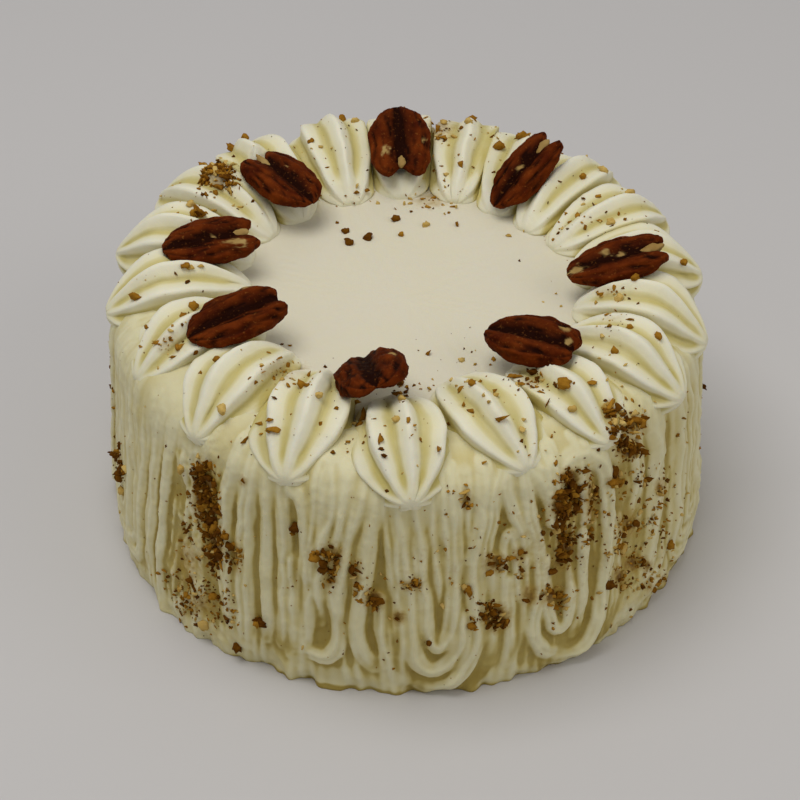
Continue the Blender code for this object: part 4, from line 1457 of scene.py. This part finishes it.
# Rows of pieces along lines in the photo: pixels, spread (pixels), count, sizes (mm) and kinds
nutRuns = (
    (
        ((204, 464), (203, 480), (206, 500), (211, 520), (216, 545), (220, 566)),
        5.2, 230, 1.6, 4.6, (0.66, 0.30),
    ),
    (((203, 480), (206, 500), (210, 520)), 7.0, 70, 1.2, 3.4, (0.55, 0.38)),
    (((204, 186), (210, 172), (220, 168), (232, 176), (228, 188)), 4.0, 110, 1.6, 4.4, (0.5, 0.4)),
    (
        ((190, 462), (186, 515), (196, 525), (182, 548), (190, 588), (212, 586)),
        5.0, 60, 0.8, 3.0, (0.25, 0.5),
    ),
    (((174, 596), (200, 590), (222, 606), (205, 622)), 6.0, 60, 0.7, 2.4, (0.35, 0.45)),
    (((232, 545), (237, 556), (235, 570)), 3.0, 20, 1.0, 2.8, (0.15, 0.6)),
    (((318, 553), (330, 552), (340, 564), (331, 580)), 3.6, 34, 1.3, 4.0, (0.3, 0.5)),
    (((356, 552), (354, 580), (360, 596), (375, 600)), 3.4, 30, 1.1, 3.4, (0.45, 0.4)),
    (((374, 596), (376, 604)), 2.0, 10, 2.4, 4.6, (0.8, 0.2)),
    (((406, 586), (420, 580)), 3.0, 14, 1.1, 3.2, (0.3, 0.5)),
    (((449, 491), (466, 496), (467, 508)), 2.6, 16, 1.1, 3.6, (0.35, 0.5)),
    (((488, 556), (500, 564), (519, 556), (522, 580)), 3.6, 36, 1.1, 3.8, (0.4, 0.45)),
    (((486, 606), (494, 616), (502, 626)), 4.2, 44, 1.4, 4.4, (0.55, 0.35)),
    (((543, 590), (556, 595), (562, 604)), 3.6, 26, 1.3, 4.2, (0.3, 0.5)),
    (((571, 474), (567, 492), (565, 508), (556, 522)), 5.8, 130, 1.6, 4.6, (0.56, 0.38)),
    (((566, 526), (567, 545), (560, 562)), 5.0, 80, 1.5, 4.4, (0.55, 0.38)),
    (((588, 478), (590, 510), (584, 560)), 3.0, 30, 0.8, 2.4, (0.4, 0.45)),
    (((590, 480), (594, 492), (591, 516), (588, 545)), 2.6, 26, 1.0, 3.2, (0.4, 0.45)),
    (((609, 404), (612, 416), (626, 426), (642, 421)), 4.0, 50, 1.5, 4.8, (0.3, 0.5)),
    (((612, 432), (626, 446), (640, 448)), 4.0, 50, 1.5, 4.8, (0.6, 0.32)),
    (((612, 481), (622, 482), (638, 488), (642, 470)), 3.0, 24, 1.2, 4.0, (0.45, 0.4)),
    (((624, 516), (628, 530), (616, 538), (632, 562), (646, 563)), 4.0, 44, 1.2, 3.8, (0.35, 0.45)),
    (((619, 572), (620, 584), (648, 586), (666, 578)), 4.0, 30, 1.1, 3.6, (0.4, 0.4)),
    (((659, 480), (661, 492), (650, 522)), 2.6, 16, 1.2, 3.6, (0.35, 0.45)),
    (((115, 450), (119, 462), (123, 474)), 2.0, 30, 1.4, 4.2, (0.7, 0.25)),
    (((113, 388), (113, 410), (114, 428), (120, 515), (114, 535)), 1.5, 12, 1.2, 3.2, (0.6, 0.3)),
    (((168, 572), (182, 600), (202, 626)), 6.0, 60, 0.8, 2.8, (0.3, 0.5)),
    (((216, 574), (228, 600), (236, 630)), 5.0, 50, 0.8, 3.0, (0.35, 0.45)),
    (((606, 500), (612, 545), (606, 600)), 5.0, 26, 0.8, 2.8, (0.3, 0.45)),
    (((640, 500), (656, 540), (640, 582)), 9.0, 34, 0.8, 2.8, (0.25, 0.45)),
    (((666, 470), (674, 515), (664, 556)), 7.0, 22, 0.7, 2.6, (0.25, 0.45)),
    (((192, 213), (204, 216)), 1.5, 5, 5.0, 7.5, (0.6, 0.4)),
    (((258, 618), (261, 623)), 1.0, 5, 4.2, 6.4, (0.7, 0.3)),
)

# Brown tints that wet nuts leave on the cream, in the photo: pixels, spreads and strength
nutStains = (
    (205, 494, 9, 22, 0.85), (215, 545, 6, 18, 0.75), (188, 560, 14, 24, 0.40), (236, 556, 5, 14, 0.55),
    (200, 604, 16, 12, 0.42), (243, 481, 4, 5, 0.40), (119, 458, 2, 8, 0.50), (332, 556, 10, 10, 0.60),
    (331, 580, 6, 6, 0.60), (374, 600, 8, 8, 0.80), (398, 618, 6, 6, 0.65), (356, 575, 6, 16, 0.45),
    (412, 585, 10, 5, 0.55), (466, 500, 5, 8, 0.55), (494, 562, 9, 9, 0.60), (519, 556, 6, 8, 0.50),
    (496, 618, 10, 10, 0.85), (530, 595, 8, 10, 0.55), (553, 596, 10, 9, 0.65), (570, 478, 8, 8, 0.75),
    (564, 507, 9, 12, 0.90), (566, 542, 7, 12, 0.85), (560, 562, 8, 8, 0.55), (591, 500, 5, 22, 0.55),
    (611, 412, 7, 8, 0.75), (630, 425, 12, 9, 0.65), (628, 448, 9, 8, 0.90), (617, 482, 7, 5, 0.70),
    (660, 487, 5, 7, 0.55), (628, 524, 9, 10, 0.60), (632, 563, 8, 8, 0.65), (619, 577, 5, 9, 0.65),
    (646, 565, 6, 6, 0.55), (648, 587, 5, 5, 0.45), (665, 579, 5, 5, 0.45), (440, 128, 13, 12, 0.60),
    (430, 200, 16, 7, 0.40), (218, 178, 10, 8, 0.85), (168, 344, 14, 9, 0.42), (285, 372, 18, 9, 0.42),
    (362, 418, 7, 8, 0.42), (532, 380, 12, 8, 0.50), (606, 292, 9, 6, 0.42), (612, 320, 12, 6, 0.35),
    (430, 570, 50, 45, 0.16), (555, 550, 45, 50, 0.22), (300, 570, 40, 40, 0.10),
)

# Patches out of the photo's sight: angle, height (degrees, mm), spreads and count
hiddenPatches = (
    (7, 45, 6, 20, 50), (18, 62, 8, 12, 34), (34, 40, 9, 18, 40), (54, 66, 8, 10, 30),
    (75, 45, 5, 24, 80), (98, 60, 9, 14, 36), (120, 35, 9, 16, 34), (141, 64, 8, 12, 30),
    (158, 42, 5, 22, 70), (174, 58, 6, 14, 36),
)


def anyWay(rng):
    return Vector((rng.gauss(0, 1), rng.gauss(0, 1), rng.gauss(0, 1)))


def crumbled(bm, cuts, crumble):  # cut finer and roughened, and then as points and faces
    bmesh.ops.subdivide_edges(bm, edges=bm.edges, cuts=cuts, use_grid_fill=True)
    bmesh.ops.triangulate(bm, faces=bm.faces)
    for vertex in bm.verts:
        vertex.co *= 1 + crumble(vertex.co)
    bm.verts.index_update()
    points = [vertex.co.copy() for vertex in bm.verts]
    faces = [tuple(vertex.index for vertex in face.verts) for face in bm.faces]
    bm.free()
    return points, faces


def nutBlank(rng, cuts):  # an angular, crumbly chip about a unit across
    bm = bmesh.new()
    for _ in range(nuts["corners"]):
        bm.verts.new(anyWay(rng).normalized() * rng.uniform(*nuts["cornerReach"]))
    bmesh.ops.convex_hull(bm, input=bm.verts)
    loose = [vertex for vertex in bm.verts if not vertex.link_faces]
    bmesh.ops.delete(bm, geom=loose, context="VERTS")
    shift = Vector((rng.uniform(0, 90), 0, 0))
    return crumbled(bm, cuts, lambda place: nuts["crumble"] * rough(place + shift, nuts["crumbleWaves"], 2))


class Chips:  # chopped pecans, one form for each kind, which lie on the cream only
    def __init__(self, tree, creamFaces):
        self.rng = random.Random(nuts["seed"])
        self.blanks = [[nutBlank(self.rng, cuts) for _ in range(nuts["blanks"])] for cuts in nuts["cuts"]]
        self.forms = {kind: Form() for kind in nuts["kinds"]}
        self.tree = tree
        self.creamFaces = creamFaces

    def rest(self, centre, points, faces):  # the cream isn't quite where the solids have it
        spot, normal = self.tree.find_nearest(centre)[:2]
        kinds = nuts["kinds"][centre.z > coat["topHeight"]:]  # none of the dark ones on the shells
        kind = kinds[int(centre.x * 1e6) % 5 % len(kinds)]
        moved = [spot + normal * nuts["standOff"] + point for point in points]
        self.forms[kind].addMesh(moved, faces, (rough(centre, 3000, 1) * 0.5 + 0.5, 0.5))

    def put(self, spot, normal, size, kind):  # size in mm
        rng = self.rng
        fineness = sum(size > least for least in nuts["cutFrom"])
        size = size / 1000
        points, faces = rng.choice(self.blanks[fineness])
        axis = anyWay(rng)
        turn = Matrix.Rotation(rng.uniform(0, 2 * math.pi), 3, axis)
        form = turn @ Matrix.Diagonal([rng.uniform(*limits) for limits in nuts["chipForm"]])
        centre = spot + normal * (size * rng.uniform(*nuts["proud"]))
        tone = rng.random()
        moved = [centre + form @ point * size for point in points]
        sunk = min(0, min(point.z for point in moved))  # nothing lies below the floor
        moved = [point - Vector((0, 0, sunk)) for point in moved]
        self.forms[kind].addMesh(moved, faces, (tone, rng.random()))

    def kind(self, shares):
        draw = self.rng.random()
        if draw < shares[0]:
            return "dark"
        return "brown" if draw < shares[0] + shares[1] else "tan"

    def size(self, least, most, smallPower):
        return lerp(least, most, self.rng.random() ** smallPower)

    def throw(self, start, way, size, kind, lowest=-1.0):  # stays where it meets cream above lowest
        spot, normal, face = self.tree.ray_cast(start, way)[:3]
        if spot and face < self.creamFaces and spot.z > lowest:
            self.put(spot, normal, size, kind)


def strewNuts(chips):
    draw = chips.rng
    patchPower, rowPower, hiddenPower, crumbPower = nuts["smallPowers"]
    for kind, spots in nutPixels.items():
        for x, y, size in spots:
            chips.throw(*photoRay(x, y), size, kind)
    for x, y, across, down, count, least, most, shares in nutPatches:
        for _ in range(count):
            size = chips.size(least, most, patchPower)
            place = (draw.gauss(x, across), draw.gauss(y, down))
            chips.throw(*photoRay(*place), size, chips.kind(shares))
    for line, spread, count, least, most, shares in nutRuns:
        for _ in range(count):
            index, part = divmod(draw.uniform(0, len(line) - 1.001), 1)
            ends = zip(line[int(index)], line[int(index) + 1])
            place = [lerp(*values, part) + draw.gauss(0, spread) for values in ends]
            chips.throw(*photoRay(*place), chips.size(least, most, rowPower), chips.kind(shares))
    lowest, highest = nuts["hiddenHeights"]
    for angle, height, across, down, count in hiddenPatches:
        for spread in nuts["hiddenSpreads"] * count:
            turn = math.radians(draw.gauss(angle, across * spread))
            rise = min(max(draw.gauss(height, down * spread), lowest), highest) / 1000
            size = chips.size(*nuts["hiddenSizes"], hiddenPower)
            chips.throw(polar(0.2, turn, rise), polar(-1, turn), size, chips.kind(nuts["hiddenShares"]))
    count, radii, angles, sizes, shares, lowest = nuts["crumbs"]
    for _ in range(count):
        start = polar(draw.uniform(*radii), math.radians(draw.uniform(*angles)), 0.3)
        size = chips.size(*sizes, crumbPower)
        chips.throw(start, Vector((0, 0, -1)), size, chips.kind(shares), lowest)


def stain(form):  # marks the cream brown around the patches of nuts
    points = np.array([tuple(point) for point in form.points])
    cosine, sine = math.cos(photo["tilt"]), math.sin(photo["tilt"])
    away = points - np.array(photo["place"])
    depth = away[:, 1] * sine - away[:, 2] * cosine
    x = photoHalf + away[:, 0] / depth / pixelReach
    y = photoHalf - (away[:, 1] * cosine + away[:, 2] * sine) / depth / pixelReach
    facing = points[:, 0] * away[:, 0] + points[:, 1] * away[:, 1] < 0
    seen = facing | (points[:, 2] > coat["topHeight"] - nuts["stainMargin"])
    brown = np.zeros(len(points))
    for middle, level, across, down, strength in nutStains:
        across, down = across * nuts["stainWiden"], down * nuts["stainWiden"]
        spot = np.exp(-((x - middle) / across) ** 2 - ((y - level) / down) ** 2)
        brown = np.maximum(brown, spot * strength * nuts["stainShare"] * seen)
    turned = np.degrees(np.arctan2(points[:, 1], points[:, 0]))
    for angle, height, across, down, count in hiddenPatches:
        offset, above = turnFrom(angle, turned), points[:, 2] * 1000 - height
        spot = np.exp(-(offset / across) ** 2 - (above / down) ** 2)
        brown = np.maximum(brown, spot * min(nuts["hiddenStain"], count / nuts["hiddenCount"]))
    form.marks = [(mark[0], max(mark[1], value)) for mark, value in zip(form.marks, brown.tolist())]


def solidNut(centre, rng):  # a piece that the solids carry too, of the same draws, about its centre
    bm = bmesh.new()
    bmesh.ops.create_icosphere(bm, subdivisions=1, radius=nuts["size"] * rng.uniform(*nuts["sizes"]))
    limits = (nuts["lengths"], nuts["widths"], nuts["widths"])
    length, width, depth = (rng.uniform(*limit) for limit in limits)
    axis = Vector((rng.random(), rng.random(), rng.random())) + Vector((0, 0, 0.1))
    turn = Matrix.Rotation(rng.uniform(0, math.pi), 3, axis)
    shape = turn @ Matrix.Diagonal((length, width, depth))
    for vertex in bm.verts:
        vertex.co = shape @ vertex.co * rng.uniform(*nuts["lumps"])
    shift, waves = nuts["solidWaves"]
    place = centre * shift

    def crumble(point):
        return nuts["solidCrumble"] * rough(place + point * waves, 1, 3)

    return centre, *crumbled(bm, nuts["solidCuts"], crumble)


def wallSolidPoint(angle, height, relief):
    bulge = coat["swell"] * waveSum(coat["swellWaves"], angle, height)
    radius = profile(height)[0] + relief * ropeShare(angle) + bulge
    return polar(radius, angle + drift(angle, height) / coat["footRadius"], height)


def cakeNutPlaces(cells, rng):
    places = []
    for angle, height, spread, count in nuts["clusters"]:
        for _ in range(count):
            along = rng.gauss(0, nuts["clusterWidth"]) * spread / 1000
            rise = rng.gauss(0, nuts["clusterHeight"]) * spread / 1000
            places.append((math.radians(angle) + along / coat["footRadius"], height / 1000 + rise))
    for item in range(nuts["scattered"]):
        turn = (item + nuts["scatterJitter"] * rng.random()) / nuts["scattered"]
        places.append((2 * math.pi * turn, rng.uniform(*nuts["scatterHeights"])))
    points = []
    for angle, height in places:
        height = min(max(height, nuts["wallMargin"]), coat["wallTopHeight"] - nuts["wallMargin"])
        points.append(wallSolidPoint(angle, height, reliefAt(cells, angle, height) + nuts["standOff"]))
    for _ in range(nuts["top"]):
        radius, angle = rng.uniform(*nuts["topRadii"]), rng.uniform(*nuts["topAngles"])
        points.append(polar(radius, angle, coat["topHeight"]))
    return points


def shellNutPlaces(shell, rng):
    places = []
    turn = shells["nutTurn"]
    while len(places) < shells["nutCount"]:
        share = rng.uniform(*shells["nutShares"])
        point = shell.point(share, rng.uniform(-turn, turn), shells["nutDepth"])
        if clearOfPecans(point):
            places.append(point)
    return places


def nutMaterial(kind):
    dark, light = nuts["colours"][kind]
    shading = Shading("chopped_pecan_" + kind)
    tone = shading.mark("hollow")
    clouds, fine = (shading.grain(*grain) for grain in nuts["grains"])
    colour = shading.blend((tone * 0.7 + clouds * 0.9 - 0.3).held(), dark, light)
    colour = shading.blend(((fine - 0.6) * 4).held() * 0.45, colour, nuts["flecks"])
    return shading.finish(
        base_color=colour,
        roughness=0.6 + fine * 0.25,
        normal=shading.bump(clouds * 0.5 + fine * 0.5, 0.0004, 0.6),
        specular_ior_level=0.04,
    )


# The floor and the light

stage = {
    "floorReach": 6,
    "floorColour": (0.60, 0.588, 0.588),
    "floorShade": 0.86,
    "aim": (0, 0, 0.05),
    "worldColour": (1.0, 0.985, 0.97),
    "worldStrength": 0.36,
    # place, size, power and colour of each lamp
    "lamps": (
        ((-0.31, -0.06, 1.45), 0.9, 9.7, (1.0, 0.985, 0.96)),
        ((1.0, -0.46, 0.85), 0.8, 2.3, (1.0, 0.96, 0.88)),
    ),
}


def makeStage():
    mesh = bpy.data.meshes.new("floor")
    far = stage["floorReach"]
    mesh.from_pydata([(-far, -far, 0), (far, -far, 0), (far, far, 0), (-far, far, 0)], [], [(0, 1, 2, 3)])
    floor = addObject("floor", mesh)
    shading = Shading("pale_table")
    clouds = shading.grain(3, 3)
    darker = tuple(stage["floorShade"] * value for value in stage["floorColour"])
    colour = shading.blend(clouds * 0.3, stage["floorColour"], darker)
    mesh.materials.append(shading.finish(base_color=colour, roughness=0.6 + clouds * 0.1))
    world = bpy.data.worlds.new("soft_light")
    world.use_nodes = True
    back = world.node_tree.nodes["Background"]
    back.inputs["Color"].default_value = (*stage["worldColour"], 1)
    back.inputs["Strength"].default_value = stage["worldStrength"]
    bpy.context.scene.world = world
    for number, (place, size, power, colour) in enumerate(stage["lamps"]):
        data = bpy.data.lights.new(f"lamp_{number + 1}", "AREA")
        data.shape = "SQUARE"
        data.size = size
        data.energy = power
        data.color = colour
        lamp = addObject(f"lamp_{number + 1}", data)
        lamp.location = place
        lamp.rotation_euler = (Vector(stage["aim"]) - Vector(place)).to_track_quat("-Z", "Y").to_euler()
    bpy.context.scene.view_settings.view_transform = "Standard"


# Putting the cake together

makeCamera()
makeStage()
print("camera, floor and light are set")

softCream = creamMaterial("whipped_cream", "shell")
# the wall's cream is a darker, yellower copy: painted shade and painted bounce light
wallCream = creamMaterial("whipped_cream_wall_painted_shade", "wall")
cells = makeCells()

wall = Wall()
heights = pipeWall(wall, plainCoat(), cells)
coatForm = makeCoat(heights, wall)
print("wall piped:", len(coatForm.faces), "faces")

rng = random.Random(shells["seed"])
shellList = [Shell(row, rng) for row in shells["rows"]]
beds = [Bed(row) for row in pecans["rows"]]
shellForms, solidNuts = [], []
for number, shell in enumerate(shellList):
    near = [shellList[number - 1], shellList[(number + 1) % len(shellList)]]
    planes = [besidePlane(shell, other) for other in near]
    pressing = [bed for bed in beds if (bed.middle - shell.middle).length < shell.length]
    shellForms.append(shellForm(shell, planes, pressing, number))
    solidNuts += [solidNut(place, rng) for place in shellNutPlaces(shell, rng)]
solidNuts += [solidNut(place, rng) for place in cakeNutPlaces(cells, rng)]
print("shells piped:", sum(len(form.faces) for form in shellForms), "faces")

pecanForms = [pecanForm(row, number) for number, row in enumerate(pecans["rows"])]
print("pecan halves shaped")

creamForms = [coatForm] + shellForms
whole = Form()
for form in creamForms + pecanForms:
    whole.addMesh(form.points, form.faces, (0, 0))
creamFaces = sum(len(form.faces) for form in creamForms)
chips = Chips(BVHTree.FromPolygons(whole.points, whole.faces), creamFaces)
for nut in solidNuts:
    chips.rest(*nut)
strewNuts(chips)
print("pecans chopped:", sum(len(form.faces) for form in chips.forms.values()), "faces")

for form in creamForms:
    stain(form)

coatForm.build("cream_coat", wallCream, "whipped_cream", "cake")
for number, form in enumerate(shellForms):
    form.build(f"piped_shell_{number + 1:02d}", softCream, "whipped_cream", f"shell_{number + 1:02d}")
skin = pecanMaterial()
for number, form in enumerate(pecanForms):
    form.build(f"pecan_half_{number + 1}", skin, "pecan_skin", f"pecan_{number + 1}")
for kind, form in chips.forms.items():
    form.build(f"chopped_{kind}", nutMaterial(kind), "chopped_pecan")
print("all pieces built")
